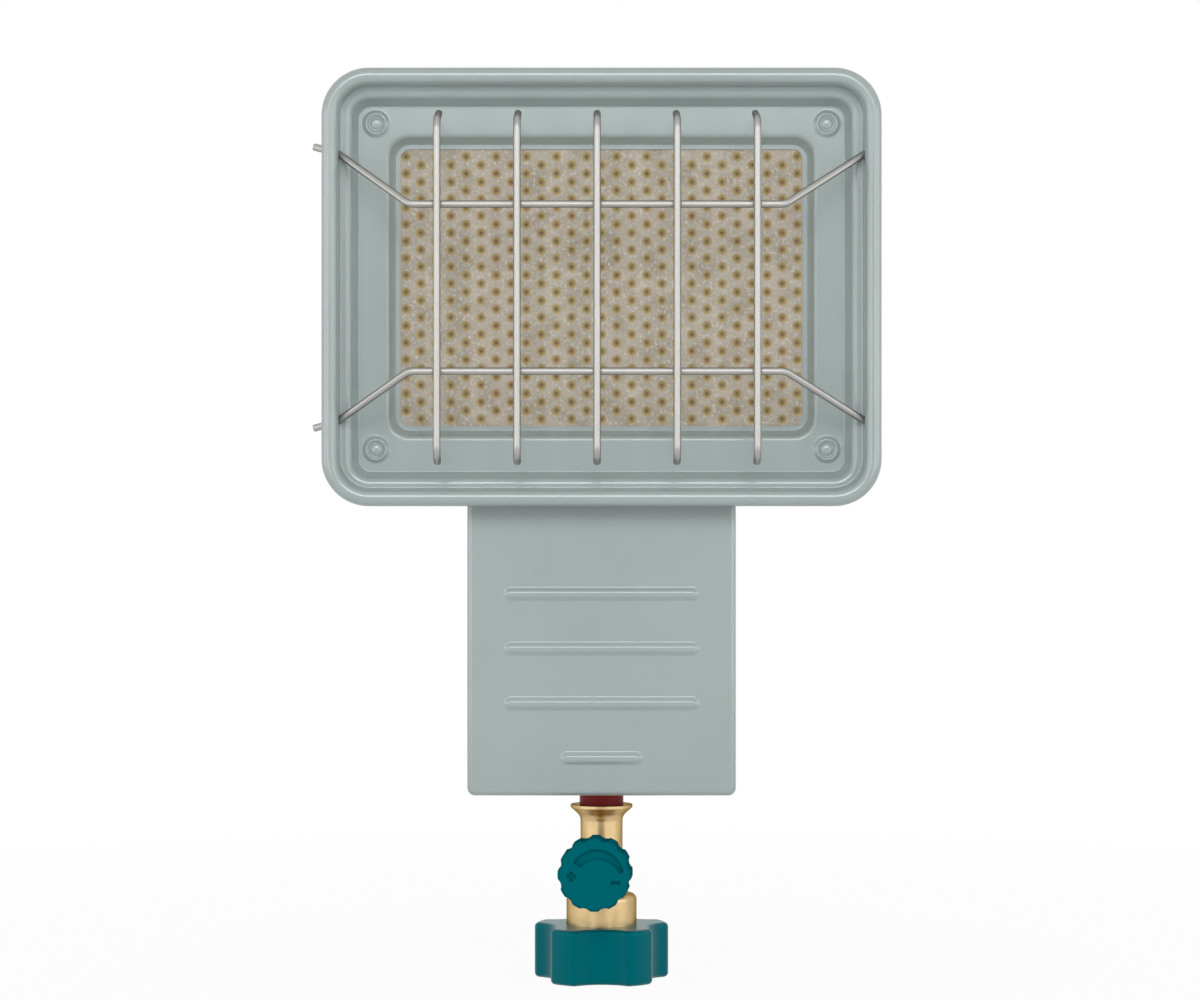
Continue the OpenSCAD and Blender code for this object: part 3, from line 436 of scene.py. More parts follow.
def press(path):
    """Carries the selected face along a path of (inset, rise) points, as a press draws sheet."""
    for a, b in zip(path, path[1:]):
        bpy.ops.mesh.inset(thickness=max(b[0] - a[0], 0), depth=b[1] - a[1], use_even_offset=True)


def stamp(points, radii, rise=-1, steps=6):
    """Presses the selected face along a bent path of (inset, height) points, sunk unless rise is 1."""
    press([(p.x, rise * p.y) for p in bent(points, radii, steps)])


def open_face():
    """Takes the selected face out and keeps its edges."""
    bpy.ops.mesh.delete(type="ONLY_FACE")


def close_plane(piece, y):
    """Fills the sheet between the open edges that lie in the plane at depth y."""
    choose(piece, "edges", loose_rim(y))
    bpy.ops.mesh.fill(use_beauty=True)


def face_sheet(piece, facing):
    """Turns a sheet's faces so that its flat parts look one way."""
    outward()
    mesh = bmesh.from_edit_mesh(piece.data)
    if sum(f.normal.dot(facing) * f.calc_area() for f in mesh.faces) < 0:
        bpy.ops.mesh.flip_normals()


def modify(piece, kind, **settings):
    """Adds a modifier with these settings and applies it."""
    only(piece)
    modifier = piece.modifiers.new(kind.title(), kind)
    for key, value in settings.items():
        setattr(modifier, key, value)
    bpy.ops.object.modifier_apply(modifier=modifier.name)


def shell(piece, thickness):
    """Gives a sheet its thickness, behind the side that it faces."""
    modify(piece, "SOLIDIFY", thickness=thickness, offset=-1, use_even_offset=True, use_quality_normals=True)


def soften(piece, width, segments=3, angle=40):
    """Rounds a piece's sharp edges."""
    modify(piece, "BEVEL", width=width, segments=segments, limit_method="ANGLE",
           angle_limit=math.radians(angle), use_clamp_overlap=True)


def combine(piece, tool, operation="DIFFERENCE"):
    """Cuts a piece with a tool, or combines the two in another way, and removes the tool."""
    modify(piece, "BOOLEAN", operation=operation, object=tool, solver="EXACT")
    bpy.data.objects.remove(tool)


def repeat(piece, count, step):
    """Repeats a piece along a step and merges what meets."""
    modify(piece, "ARRAY", count=count, use_relative_offset=False, use_constant_offset=True,
           constant_offset_displace=step, use_merge_vertices=True, merge_threshold=TOUCH)


def joined(piece, other):
    """Puts another piece's mesh into a piece, which may be None at first."""
    if piece is None:
        return other
    only(piece)
    other.select_set(True)
    bpy.ops.object.join()
    return piece


def place(piece, origin, direction):
    """Stands a piece that was modelled round +Z at a point, along a direction."""
    only(piece)
    lean = direction.to_track_quat("Z", "Y").to_matrix().to_4x4()
    piece.matrix_world = Matrix.Translation(origin) @ lean
    bpy.ops.object.transform_apply(location=True, rotation=True, scale=True)
    return piece


def lathe(name, points, origin=(0, 0, 0), direction=UP, steps=72):
    """A turned piece: a profile of (radius, height) points carried round an axis."""
    piece = begin(name)
    bpy.ops.mesh.select_mode(type="VERT")
    bpy.ops.mesh.primitive_plane_add(size=MM)
    bpy.ops.mesh.merge(type="CENTER")
    bpy.ops.transform.translate(value=(points[0][0], 0, points[0][1]))
    for a, b in zip(points, points[1:]):
        bpy.ops.mesh.extrude_region_move(
            TRANSFORM_OT_translate={"value": (b[0] - a[0], 0, b[1] - a[1])})
    merge()
    bpy.ops.mesh.spin(steps=steps, angle=math.tau, center=(0, 0, 0), axis=(0, 0, 1))
    merge()
    outward()
    end()
    return place(piece, origin, direction)


def bar(name, radius, low, high, origin=(0, 0, 0), direction=UP, sides=64, start=0):
    """A round bar, or one with a few flats, as a tool or a first shape."""
    piece = begin(name)
    bpy.ops.mesh.primitive_cylinder_add(
        vertices=sides, radius=radius, depth=high - low, location=(0, 0, (low + high) / 2),
        rotation=(0, 0, start))
    end()
    return place(piece, origin, direction)


def hexagon(name, flats, low, high):
    """A six-sided bar of this size across its flats."""
    return bar(name, flats / 2 / math.cos(HEXAGON), low, high, sides=6, start=HEXAGON)


def block(name, size, spot):
    """A rectangular block, as a tool or a first shape."""
    piece = begin(name)
    bpy.ops.mesh.primitive_cube_add(size=1, location=spot)
    bpy.ops.transform.resize(value=size, center_override=spot)
    end()
    return piece


def wire(points, radius, bend, sides=20, steps=7):
    """Adds a round wire to the mesh in edit mode, bent at each inner point."""
    way = [(b - a).normalized() for a, b in zip(points, points[1:])]
    lean = way[0].to_track_quat("Z", "Y").to_euler()
    bpy.ops.mesh.select_mode(type="EDGE")
    bpy.ops.mesh.primitive_circle_add(vertices=sides, radius=radius, location=points[0], rotation=lean)
    spot = points[0]
    for corner, one, other in zip(points[1:], way, way[1:]):
        angle = one.angle(other)
        across = one.cross(other).normalized()
        back = bend * math.tan(angle / 2)
        start = corner - one * back
        bpy.ops.mesh.extrude_region_move(TRANSFORM_OT_translate={"value": start - spot})
        centre = start + across.cross(one) * bend
        bpy.ops.mesh.spin(steps=steps, angle=-angle, center=centre, axis=across)
        spot = corner + other * back
    bpy.ops.mesh.extrude_region_move(TRANSFORM_OT_translate={"value": points[-1] - spot})


def close_wires():
    """Closes the open ends of all wires in the mesh and turns their faces outward."""
    bpy.ops.mesh.select_all(action="SELECT")
    bpy.ops.mesh.fill_holes(sides=0)
    outward()


def dress_copy(node, slot, body="heater"):
    """Dresses a merged copy of a CAD node whose round faces shade smoothly."""
    piece = bpy.data.objects.new(node + "_finished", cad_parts[node].data.copy())
    piece.data.name = piece.name
    bpy.context.scene.collection.objects.link(piece)
    edit(piece)
    merge()
    bpy.ops.mesh.tris_convert_to_quads()
    end()
    dress(piece, body, slot, node)


def dress(piece, body, slot, *nodes, angle=32, look=None):
    """Shades a finished piece, gives it its slot's finish and puts it on its body in place of its nodes."""
    only(piece)
    piece.data.materials.clear()
    piece.data.materials.append(finish_for(look or slot))
    bpy.ops.object.shade_smooth_by_angle(angle=math.radians(angle))
    modify(piece, "WEIGHTED_NORMAL", mode="FACE_AREA", weight=50, keep_sharp=True)
    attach(piece, body)
    if nodes:
        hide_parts(*nodes)
    return piece


def corners(node):
    """Lowest and highest corner of a CAD node at rest."""
    return tuple(Vector(corner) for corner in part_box(node))


# ---------- finishes ----------


def finish(name, base, roughness, more=()):
    """A material with one shader, whose further inputs are given by name."""
    material = bpy.data.materials.new(name)
    material.use_nodes = True
    shader = material.node_tree.nodes["Principled BSDF"]
    shader.inputs["Base Color"].default_value = (*base, 1)
    shader.inputs["Roughness"].default_value = roughness
    for key, value in dict(more).items():
        shader.inputs[key].default_value = value
    return material


def add(tree, kind, inputs=(), **settings):
    """Adds a shader node with its settings, whose inputs get values or other nodes' outputs."""
    node = tree.nodes.new("ShaderNode" + kind)
    for key, value in settings.items():
        setattr(node, key, value)
    for key, value in dict(inputs).items():
        if isinstance(value, bpy.types.NodeSocket):
            tree.links.new(value, node.inputs[key])
        else:
            node.inputs[key].default_value = value
    return node


def texture(tree, kind, inputs, stretch=(1, 1, 1)):
    """A texture laid out in the piece's own coordinates."""
    spot = add(tree, "Mapping", {"Vector": add(tree, "TexCoord").outputs["Object"], "Scale": stretch})
    return add(tree, "Tex" + kind, {"Vector": spot.outputs["Vector"], **inputs})


def noise(tree, scale, detail=3, roughness=0.5, stretch=(1, 1, 1)):
    """The value of a noise pattern."""
    inputs = {"Scale": scale, "Detail": detail, "Roughness": roughness}
    return texture(tree, "Noise", inputs, stretch).outputs["Fac"]


def ramp(tree, source, *stops):
    """A colour that follows a value through (position, colour) stops."""
    node = add(tree, "ValToRGB", {"Fac": source})
    marks = node.color_ramp.elements
    while len(marks) < len(stops):
        marks.new(0.5)
    for mark, (position, tint) in zip(marks, stops):
        mark.position = position
        mark.color = (*tint, 1)
    return node.outputs["Color"]


def blend_colours(tree, share, one, other):
    """A mix of two colours, each a value or another node's output."""
    node = add(tree, "Mix", data_type="RGBA")
    for socket, value in (("Factor", share), ("A", one), ("B", other)):
        target = next(s for s in node.inputs if s.name == socket and s.enabled)
        if isinstance(value, bpy.types.NodeSocket):
            tree.links.new(value, target)
        else:
            target.default_value = value if socket == "Factor" else (*value, 1)
    return next(s for s in node.outputs if s.enabled)


def into_shader(material, source, socket):
    """Leads a node's output into the material's shader."""
    tree = material.node_tree
    tree.links.new(source, tree.nodes["Principled BSDF"].inputs[socket])


def raise_by(material, height, strength, distance):
    """Lets a pattern raise and lower the material's surface a little."""
    inputs = {"Height": height, "Strength": strength, "Distance": distance * MM}
    bump = add(material.node_tree, "Bump", inputs)
    into_shader(material, bump.outputs["Normal"], "Normal")
    return material


def scaled(tint, factor):
    """A colour made lighter or darker."""
    return [min(c * factor, 1) for c in tint]


def vary(material, source, tint, dark, light):
    """Lets a value carry the material's colour from a darker tint to a lighter one."""
    stops = ((position, scaled(tint, factor)) for position, factor in (dark, light))
    into_shader(material, ramp(material.node_tree, source, *stops), "Base Color")


def enamel(name):
    """Grey-green stove enamel with a faint orange peel."""
    tint = sizes("finishes").paint
    material = finish(name, tint, 0.42, {"Coat Weight": 1, "Coat Roughness": 0.14, "Coat IOR": 1.6})
    tree = material.node_tree
    vary(material, noise(tree, 22), tint, (0.3, 0.95), (0.7, 1.04))
    return raise_by(material, noise(tree, 900, 2), 0.05, 0.1)


def ceramic(name):
    """Pressed ceramic: pale, stained webs and pits with painted shade, darker the deeper they go, told apart
    by their depth.
    """
    look = sizes("finishes")
    material = finish(name, look.plaque, 0.9)
    tree = material.node_tree
    face = corners("ceramic_plaque")[0].y
    y = add(tree, "SeparateXYZ", {0: add(tree, "TexCoord").outputs["Object"]}).outputs["Y"]
    depth = add(tree, "MapRange", {"Value": y, "From Min": face, "From Max": face + 3 * MM})
    broad = ramp(tree, noise(tree, 140, 4, 0.6), (0.34, scaled(look.plaque, 0.82)), (0.5, look.plaque),
                 (0.66, scaled(look.plaque, 1.12)))
    fleck = add(tree, "MapRange", {"Value": noise(tree, 900, 3, 0.7), "From Min": 0.52, "From Max": 0.68})
    webs = blend_colours(tree, fleck.outputs["Result"], broad, look.fleck)
    # Painted shade in the pits: their browner tint is lighter at the rim and darker deeper down
    pit_walls_painted_shade = ramp(tree, depth.outputs["Result"], (0.04, scaled(look.pit, 1.25)), (0.3, look.pit),
                 (0.5, scaled(look.pit, 0.85)))
    is_deep = add(tree, "MapRange", {"Value": y, "From Min": face + 0.02 * MM, "From Max": face + 0.3 * MM})
    into_shader(material, blend_colours(tree, is_deep.outputs["Result"], webs, pit_walls_painted_shade), "Base Color")
    return raise_by(material, noise(tree, 2600), 0.35, 0.12)


def plated_wire(name):
    """Bright zinc plate on drawn wire."""
    tint = sizes("finishes").wire
    material = finish(name, tint, 0.44, {"Metallic": 1, "Specular Tint": (0.4, 0.4, 0.4, 1)})
    return raise_by(material, noise(material.node_tree, 500, 2), 0.08, 0.05)


def sheet_steel(name):
    """Aluminised sheet with its soft spangle."""
    tint = sizes("finishes").steel
    material = finish(name, tint, 0.4, {"Metallic": 1})
    tree = material.node_tree
    spangle = texture(tree, "Voronoi", {"Scale": 260, "Randomness": 1})
    cells = add(tree, "SeparateColor", {"Color": spangle.outputs["Color"]})
    vary(material, cells.outputs["Red"], tint, (0, 0.86), (1, 1.06))
    worn = add(tree, "MapRange", {"Value": cells.outputs["Green"], "To Min": 0.34, "To Max": 0.5})
    into_shader(material, worn.outputs["Result"], "Roughness")
    return material


def turned_brass(name):
    """Brass with the fine rings that turning leaves."""
    tint = sizes("finishes").brass
    material = finish(name, tint, 0.34, {"Metallic": 1, "Specular Tint": (0.3, 0.24, 0.15, 1)})
    tree = material.node_tree
    vary(material, noise(tree, 160), tint, (0.3, 0.88), (0.65, 1.05))
    return raise_by(material, noise(tree, 60, stretch=(1, 1, 45)), 0.16, 0.06)


def grained(material):
    """Gives moulded plastic its fine grain."""
    return raise_by(material, noise(material.node_tree, 1800, 2), 0.12, 0.08)


def moulded_plastic(name):
    """Teal plastic with a soft gloss."""
    return grained(finish(name, sizes("finishes").plastic, 0.3, {"Specular Tint": (0, 0.6, 0.65, 1)}))


def matte_plastic_painted_sheen(name):
    """The knob's duller moulding, which doesn't mirror the backdrop at its edge, with its tint lightened as
    painted sheen in place of that reflection.
    """
    # Painted sheen: the teal is made 15% lighter to stand in for the reflection that is turned off
    tint = scaled(sizes("finishes").plastic, 1.15)
    return grained(finish(name, tint, 0.5, {"Specular IOR Level": 0}))


def red_seal(name):
    """Satin red rubber."""
    return finish(name, sizes("finishes").seal, 0.5, {"Specular IOR Level": 0.25})


def black_rubber(name):
    """Matte black rubber."""
    return finish(name, sizes("finishes").rubber, 0.7)


def fibre_board(name):
    """Matted white ceramic fibre."""
    material = finish(name, sizes("finishes").fibre, 1)
    strands = noise(material.node_tree, 700, 5, stretch=(1, 1, 0.3))
    return raise_by(material, strands, 0.6, 0.3)


def screw_steel(name):
    """Zinc-plated screw steel."""
    return finish(name, sizes("finishes").steel, 0.3, {"Metallic": 1})


def sintered_bronze(name):
    """Grainy sintered bronze."""
    material = finish(name, scaled(sizes("finishes").brass, 0.5), 0.55, {"Metallic": 1})
    beads = texture(material.node_tree, "Voronoi", {"Scale": 2600})
    return raise_by(material, beads.outputs["Distance"], 0.8, 0.15)


FINISHES = {
    "paint": enamel,
    "plaque_ceramic": ceramic,
    "guard_chrome": plated_wire,
    "aluminised_steel": sheet_steel,
    "brass": turned_brass,
    "teal_plastic": moulded_plastic,
    "teal_knob": matte_plastic_painted_sheen,
    "red_rubber": red_seal,
    "black_rubber": black_rubber,
    "fibre": fibre_board,
    "screw_steel": screw_steel,
    "sintered_bronze": sintered_bronze,
}


def finish_for(slot):
    """The finish of a material slot or a variant of it, made when it is first asked for."""
    name = "heater_" + slot
    return bpy.data.materials.get(name) or FINISHES[slot](name)


# ---------- pieces ----------


def wire_hole(side, level):
    """Middle of a guard wire's hole: side is -1 left or 1 right, level is -1 lower or 1 upper."""
    tray = sizes("tray")
    low, high = corners("reflector")
    wall = 2 * tray.roll - tray.sheet / 2
    return Vector((side * (high.x - wall), low.y + tray.wire_hole_depth,
                   (low.z + high.z) / 2 + level * tray.wire_hole_rise))


def wire_bend(side, level):
    """The point where a cross wire bends back towards its hole."""
    guard = sizes("guard")
    crest = corners("reflector")[0].y
    return Vector((side * guard.cross_half - guard.left, crest - guard.reach,
                   guard.middle + level * guard.cross_pitch / 2))


def stub_way(side, level):
    """Direction in which a cross wire's end leaves its hole."""
    way = wire_hole(side, level) - wire_bend(side, level)
    slope = sizes("guard").stub_slope
    return (Vector((side, 0, 0)) + slope * Vector((0, way.y, way.z)).normalized()).normalized()


class HEATER_OT_tray(bpy.types.Operator):
    """Presses the reflector tray, with its rim, ledge, floor, window and bosses"""

    bl_idname = "heater.tray"
    bl_label = "Tray"
    bl_options = {"REGISTER", "UNDO"}

    def execute(self, context):
        s, rivets = sizes("tray"), sizes("rivets")
        low, high = corners("reflector")
        plaque_low, plaque_high = corners("ceramic_plaque")
        burner = (plaque_low + plaque_high) / 2
        middle, crest = (low + high) / 2, low.y
        floor_y = crest + s.floor_depth
        piece = begin("tray")
        # The rim, the ledge and the sloped wall down to the floor
        flat_plate(high.x - low.x, high.z - low.z, s.corner, (0, crest + s.hem, middle.z))
        wall = 2 * s.roll
        stamp([(0, s.hem), (0, 0), (wall, 0), (wall, s.ledge_depth), (s.ledge_edge, s.ledge_depth),
               (s.floor_edge, s.floor_depth), (s.floor_edge + 0.6 * MM, s.floor_depth)],
              [s.roll, s.roll, 0.8 * MM, 2.4 * MM, 0.5 * MM])
        open_face()
        # The recess that leads to the window in front of the plaque
        reach = s.recess_side + s.recess_apron
        edge = reach + s.window_lip
        flat_plate(plaque_high.x - plaque_low.x + 2 * reach, plaque_high.z - plaque_low.z + 2 * reach,
                   s.recess_corner + s.recess_apron, (0, floor_y, burner.z))
        apron = s.recess_apron + 0.26 * MM
        stamp([(0, 0), (apron, 0), (apron + s.recess_run, s.recess_depth), (edge, s.recess_depth)],
              [1.6 * MM, 0.5 * MM])
        open_face()
        # A raised boss with a dimple round each rivet
        dimple = s.boss_height - s.dimple
        for x, z in CORNERS:
            flat_disc(s.boss, (x * rivets.across, floor_y, burner.z + z * rivets.above))
            stamp([(0, 0), (0.4 * MM, 0), (1.5 * MM, s.boss_height), (1.9 * MM, s.boss_height),
                   (2.5 * MM, dimple), (s.boss - rivets.shank - PLAY, dimple)],
                  [0.7 * MM, 0.5 * MM, 0.4 * MM, 0.5 * MM], rise=1, steps=4)
            open_face()
        close_plane(piece, floor_y)
        face_sheet(piece, FRONT)
        end()
        shell(piece, s.sheet)
        for side, level in CORNERS:
            hole = wire_hole(side, level)
            way = (hole - wire_bend(side, level)).normalized() + stub_way(side, level)
            combine(piece, bar("hole", s.wire_hole, -3.4 * MM, 3.4 * MM, hole, way, 32))
        dress(piece, "heater", "paint", "reflector", angle=40)
        return {"FINISHED"}


class HEATER_OT_rivets(bpy.types.Operator):
    """Turns the four rivets that hold the burner box to the tray"""

    bl_idname = "heater.rivets"
    bl_label = "Rivets"
    bl_options = {"REGISTER", "UNDO"}

    def execute(self, context):
        s, tray = sizes("rivets"), sizes("tray")
        low, high = corners("corner_rivets")
        middle = (low + high) / 2
        seat = corners("reflector")[0].y + tray.floor_depth - (tray.boss_height - tray.dimple)
        back = seat - high.y
        dome = [(s.head * math.sin(a), s.crown * math.cos(a)) for a in (i * QUARTER / 8 for i in range(9))]
        shaft = [(s.shank, 0), (s.shank, back + 1.2 * MM), (s.tail - 0.15 * MM, back + 0.1 * MM),
                 (s.tail - 0.4 * MM, back), (0, back)]
        piece = None
        for x, z in CORNERS:
            centre = Vector((x * s.across, seat, middle.z + z * s.above))
            piece = joined(piece, lathe("rivets", dome + shaft, centre, FRONT, 32))
        dress(piece, "heater", "paint", "corner_rivets", angle=40)
        return {"FINISHED"}


class HEATER_OT_plaque(bpy.types.Operator):
    """Presses the ceramic plaque with its lattice of pits"""

    bl_idname = "heater.plaque"
    bl_label = "Plaque"
    bl_options = {"REGISTER", "UNDO"}

    def execute(self, context):
        s = sizes("plaque")
        low, high = corners("ceramic_plaque")
        middle = (low + high) / 2
        half = (s.columns - 1) / 2
        piece = None
        for odd in (0, 1):
            # Every second column, shifted along itself by half a pitch
            columns = (s.columns + odd) // 2
            start = Vector((-(half - 1 + odd) * s.column, low.y,
                            middle.z + (0.25 + 0.5 * odd - s.rows / 2) * s.pitch))
            part = self.cell(s, start)
            repeat(part, s.rows, (0, 0, s.pitch))
            repeat(part, columns, (2 * s.column, 0, 0))
            piece = joined(piece, part)
        edit(piece)
        merge(TOUCH)
        # The plain border, the sides and the back
        flat_plate(high.x - low.x, high.z - low.z, 0.3 * MM, (0, low.y, middle.z), FRONT, 2)
        open_face()
        close_plane(piece, low.y)
        choose(piece, "edges", loose_rim(low.y))
        bpy.ops.mesh.extrude_region_move(TRANSFORM_OT_translate={"value": (0, high.y - low.y, 0)})
        bpy.ops.mesh.edge_face_add()
        outward()
        end()
        dress(piece, "heater", "plaque_ceramic", "ceramic_plaque", angle=30)
        return {"FINISHED"}

    def cell(self, s, centre):
        """One cell of the lattice: a rectangle round a pit with a gas hole in its floor."""
        part = begin("plaque")
        flat_disc(s.pit, centre, sides=12)
        choose(part, "edges", lambda edge: True)
        bpy.ops.mesh.extrude_region_move()
        mesh = bmesh.from_edit_mesh(part.data)
        for vert in (v for v in mesh.verts if v.select):
            across, up = (vert.co.x - centre.x) / s.pit, (vert.co.z - centre.z) / s.pit
            side = across if abs(across) < 0.6 else math.copysign(1, across)
            end_of = 0 if abs(up) < 0.1 else math.copysign(1, up)
            vert.co = centre + Vector((side * s.column / 2, 0, end_of * s.pitch / 2))
        bmesh.update_edit_mesh(part.data)
        choose(part, "faces", lambda face: len(face.verts) == 12)
        floor_edge = s.pit - s.hole
        bowl = ((0.16, 0.05), (0.38, 0.22), (0.66, 0.6), (1, 1))
        press([(0, 0)] + [(floor_edge * run, -s.pit_depth * drop) for run, drop in bowl]
              + [(floor_edge, -s.hole_depth)])
        end()
        return part


class HEATER_OT_guard(bpy.types.Operator):
    """Bends the guard's wires and welds them where they cross"""

    bl_idname = "heater.guard"
    bl_label = "Guard"
    bl_options = {"REGISTER", "UNDO"}

    def execute(self, context):
        s = sizes("guard")
        cross = begin("guard_cross_wires_finished")
        for level in (-1, 1):
            left, right = ([wire_hole(side, level) + stub * stub_way(side, level), wire_hole(side, level),
                            wire_bend(side, level)] for side, stub in ((-1, s.stub_left), (1, s.stub_right)))
            wire(left + right[::-1], s.wire, s.bend)
        close_wires()
        end()
        soften(cross, 0.3 * MM, 2, 60)
        dress(cross, "heater", "guard_chrome", "guard_cross_wires")
        uprights = begin("guard_uprights_finished")
        front = wire_bend(1, 1).y - 2 * s.wire
        top, foot = s.middle + s.upright_top, s.middle - s.upright_foot
        for i in range(s.uprights):
            x = (i - (s.uprights - 1) / 2) * s.upright_pitch - s.left
            wire([Vector((x, front + s.hook, top)), Vector((x, front, top - s.hook / 4)),
                  Vector((x, front, foot + s.toe / 2)), Vector((x, front + s.toe, foot))], s.wire, s.bend)
        close_wires()
        for i in range(s.uprights):
            x = (i - (s.uprights - 1) / 2) * s.upright_pitch - s.left
            for level in (-1, 1):
                spot = Vector((x, front + s.wire, s.middle + level * s.cross_pitch / 2))
                bpy.ops.mesh.primitive_uv_sphere_add(segments=16, ring_count=8, radius=s.weld, location=spot)
                bpy.ops.transform.resize(value=(1, 0.55, 0.75), center_override=spot)
        end()
        soften(uprights, 0.3 * MM, 2, 60)
        dress(uprights, "heater", "guard_chrome", "guard_uprights")
        return {"FINISHED"}


class HEATER_OT_neck(bpy.types.Operator):
    """Folds the neck cover and presses its stiffening beads"""

    bl_idname = "heater.neck"
    bl_label = "Neck"
    bl_options = {"REGISTER", "UNDO"}

    def execute(self, context):
        s = sizes("neck")
        low, high = corners("neck_cover")
        front = corners("reflector")[0].y + sizes("tray").floor_depth + sizes("tray").sheet
        low.y = front
        piece = block("neck", high - low, (low + high) / 2)
        edit(piece)
        choose(piece, "faces", lambda face: face.normal.z > 0.5 or face.normal.y > 0.5)
        open_face()
        choose(piece, "edges", lambda edge: all(abs(v.co.z - low.z) < TOUCH for v in edge.verts)
               and abs(edge.verts[0].co.x - edge.verts[1].co.x) < TOUCH)
        bpy.ops.mesh.bevel(offset=s.corner, segments=6, affect="EDGES")
        choose(piece, "edges", lambda edge: len(edge.link_faces) == 2 and lies_at(edge, front))
        bpy.ops.mesh.bevel(offset=s.fold, segments=5, affect="EDGES")
        choose(piece, "faces", lambda face: lies_at(face, front))
        open_face()
        lowest = low.z + s.bead_low
        self.bead(s, s.bead_short, front, lowest)
        for i in range(s.beads):
            self.bead(s, s.bead_long, front, lowest + (i + 1) * s.bead_pitch)
        close_plane(piece, front)
        face_sheet(piece, FRONT)
        end()
        shell(piece, s.sheet)
        combine(piece, bar("hole", s.hole, low.z - MM, low.z + 2 * MM))
        dress(piece, "heater", "paint", "neck_cover", angle=40)
        return {"FINISHED"}

    def bead(self, s, width, front, height):
        """Presses one long rounded bead into the front sheet."""
        flat_plate(width, 2 * s.bead, 0.96 * s.bead, (0, front, height), FRONT, 10)
        run = 0.84 * s.bead
        press([(run * i / 6, s.bead_height * (1 - math.cos(math.pi * i / 6)) / 2) for i in range(7)])


class HEATER_OT_box(bpy.types.Operator):
    """Draws the stepped burner box behind the tray"""

    bl_idname = "heater.box"
    bl_label = "Burner box"
    bl_options = {"REGISTER", "UNDO"}

    def execute(self, context):
        s, rivets = sizes("box"), sizes("rivets")
        low, high = corners("burner_box")
        middle, sheet = (low + high) / 2, s.sheet
        width, height = high.x - low.x, high.z - low.z
        apron = s.wall - s.lead
        flange_y = low.y + sheet
        back = high.y - s.panel_height
        depth = back - low.y
        inner = s.lead + s.step
        piece = begin("burner_box_finished")
        # The flat strip beside the outer wall, the wall, its step and the inner wall
        flat_plate(width - 2 * apron, height - 2 * apron, s.corner + s.lead, (0, flange_y, middle.z), BACK)
        stamp([(0, sheet), (s.lead, sheet), (s.lead, s.step_depth), (inner, s.step_depth), (inner, depth),
               (inner + 2.4 * MM, depth)], [0.85 * MM, 1.55 * MM, 0.85 * MM, 2.35 * MM], rise=1)
        open_face()
        # The pressed panel in the back
        border = s.wall + s.step + s.panel - MM
        flat_plate(width - 2 * border, height - 2 * border, s.panel_corner + MM, (0, back, middle.z), BACK)
        stamp([(0, 0), (0.6 * MM, 0), (1.6 * MM, s.panel_height), (2.6 * MM, s.panel_height)],
              [0.6 * MM, 0.6 * MM], rise=1)
        close_plane(piece, back)
        # The flange with its rivet holes
        flat_plate(width, height, s.flange_corner, (0, flange_y, middle.z), BACK, 8)
        open_face()
        for x, z in CORNERS:
            spot = (x * rivets.across, flange_y, middle.z + z * rivets.above)
            flat_disc(rivets.shank + PLAY, spot, BACK, 24)
            open_face()
        close_plane(piece, flange_y)
        face_sheet(piece, BACK)
        end()
        shell(piece, sheet)
        # The notch for the neck and the tube's hole
        combine(piece, block("notch", (s.notch, 6 * MM, 2 * (apron - PLAY)), (0, low.y, low.z)))
        tube_top = corners("mixing_tube")[1].z
        combine(piece, bar("hole", s.tube + PLAY, tube_top - 12 * MM, tube_top))
        dress(piece, "heater", "aluminised_steel", "burner_box", angle=40)
        return {"FINISHED"}


class HEATER_OT_gas_path(bpy.types.Operator):
    """Dresses the gasket, baffle, mixing tube, air cage, jet and their screws"""

    bl_idname = "heater.gas_path"
    bl_label = "Gas path"
    bl_options = {"REGISTER", "UNDO"}

    def execute(self, context):
        for node, slot in (("plaque_gasket", "fibre"), ("baffle", "aluminised_steel"),
                           ("mixing_tube", "aluminised_steel"), ("tube_screws", "screw_steel"),
                           ("air_cage", "brass"), ("cage_screw", "screw_steel"), ("jet", "brass")):
            dress_copy(node, slot)
        return {"FINISHED"}


class HEATER_OT_valve(bpy.types.Operator):
    """Turns the valve body, its seal and the small parts of the spindle and stem"""

    bl_idname = "heater.valve"
    bl_label = "Valve"
    bl_options = {"REGISTER", "UNDO"}

    def execute(self, context):
        s = sizes("valve")
        low, high = corners("valve_body")
        edge, cup = s.flare_edge, s.flare_edge - s.cup_depth
        flare_foot = edge - s.flare_height
        outer = bent([(s.body - 0.5 * MM, low.z), (s.body, low.z + 0.5 * MM), (s.body, flare_foot + 1.4 * MM),
                      (s.flare - 0.2 * MM, edge - 1.1 * MM), (s.flare, edge - 0.9 * MM), (s.flare, edge)],
                     [0, 3.4 * MM, 0, 0.2 * MM])
        profile = [(0, low.z), *outer, (s.flare - s.lip, edge), (s.seal + 0.4 * MM, cup),
                   (s.spigot, cup), (s.spigot, high.z), (0, high.z)]
        body = lathe("valve_body_finished", profile)
        branch = bar("branch", s.branch, 0, s.branch_length, (0, 0, s.branch_height), spindle_way())
        combine(body, branch, "UNION")
        soften(body, 0.25 * MM, 2, 50)
        dress(body, "heater", "brass", "valve_body")
        foot, top = (corner.z for corner in corners("red_seal"))
        ring = [(s.spigot, foot), (s.seal - 0.3 * MM, foot), (s.seal, foot + 0.4 * MM),
                (s.seal, top - 0.5 * MM), (s.seal - 0.4 * MM, top), (s.spigot, top), (s.spigot, foot)]
        dress(lathe("red_seal_finished", ring), "heater", "red_rubber", "red_seal")
        for node, slot, body_name in (
                ("gland_packing", "black_rubber", "heater"), ("gland_nut", "brass", "heater"),
                ("seat_pad", "black_rubber", "spindle_foot"), ("spindle", "brass", "knob_set"),
                ("connector_stem", "brass", "heater"), ("inlet_filter", "sintered_bronze", "heater"),
                ("sealing_washer", "black_rubber", "heater")):
            dress_copy(node, slot, body_name)
        return {"FINISHED"}


def spindle_way():
    """Direction of the side branch and the spindle, away from the pipe's axis."""
    angle = sizes("valve").branch_turn
    return Vector((math.sin(angle), -math.cos(angle), 0))


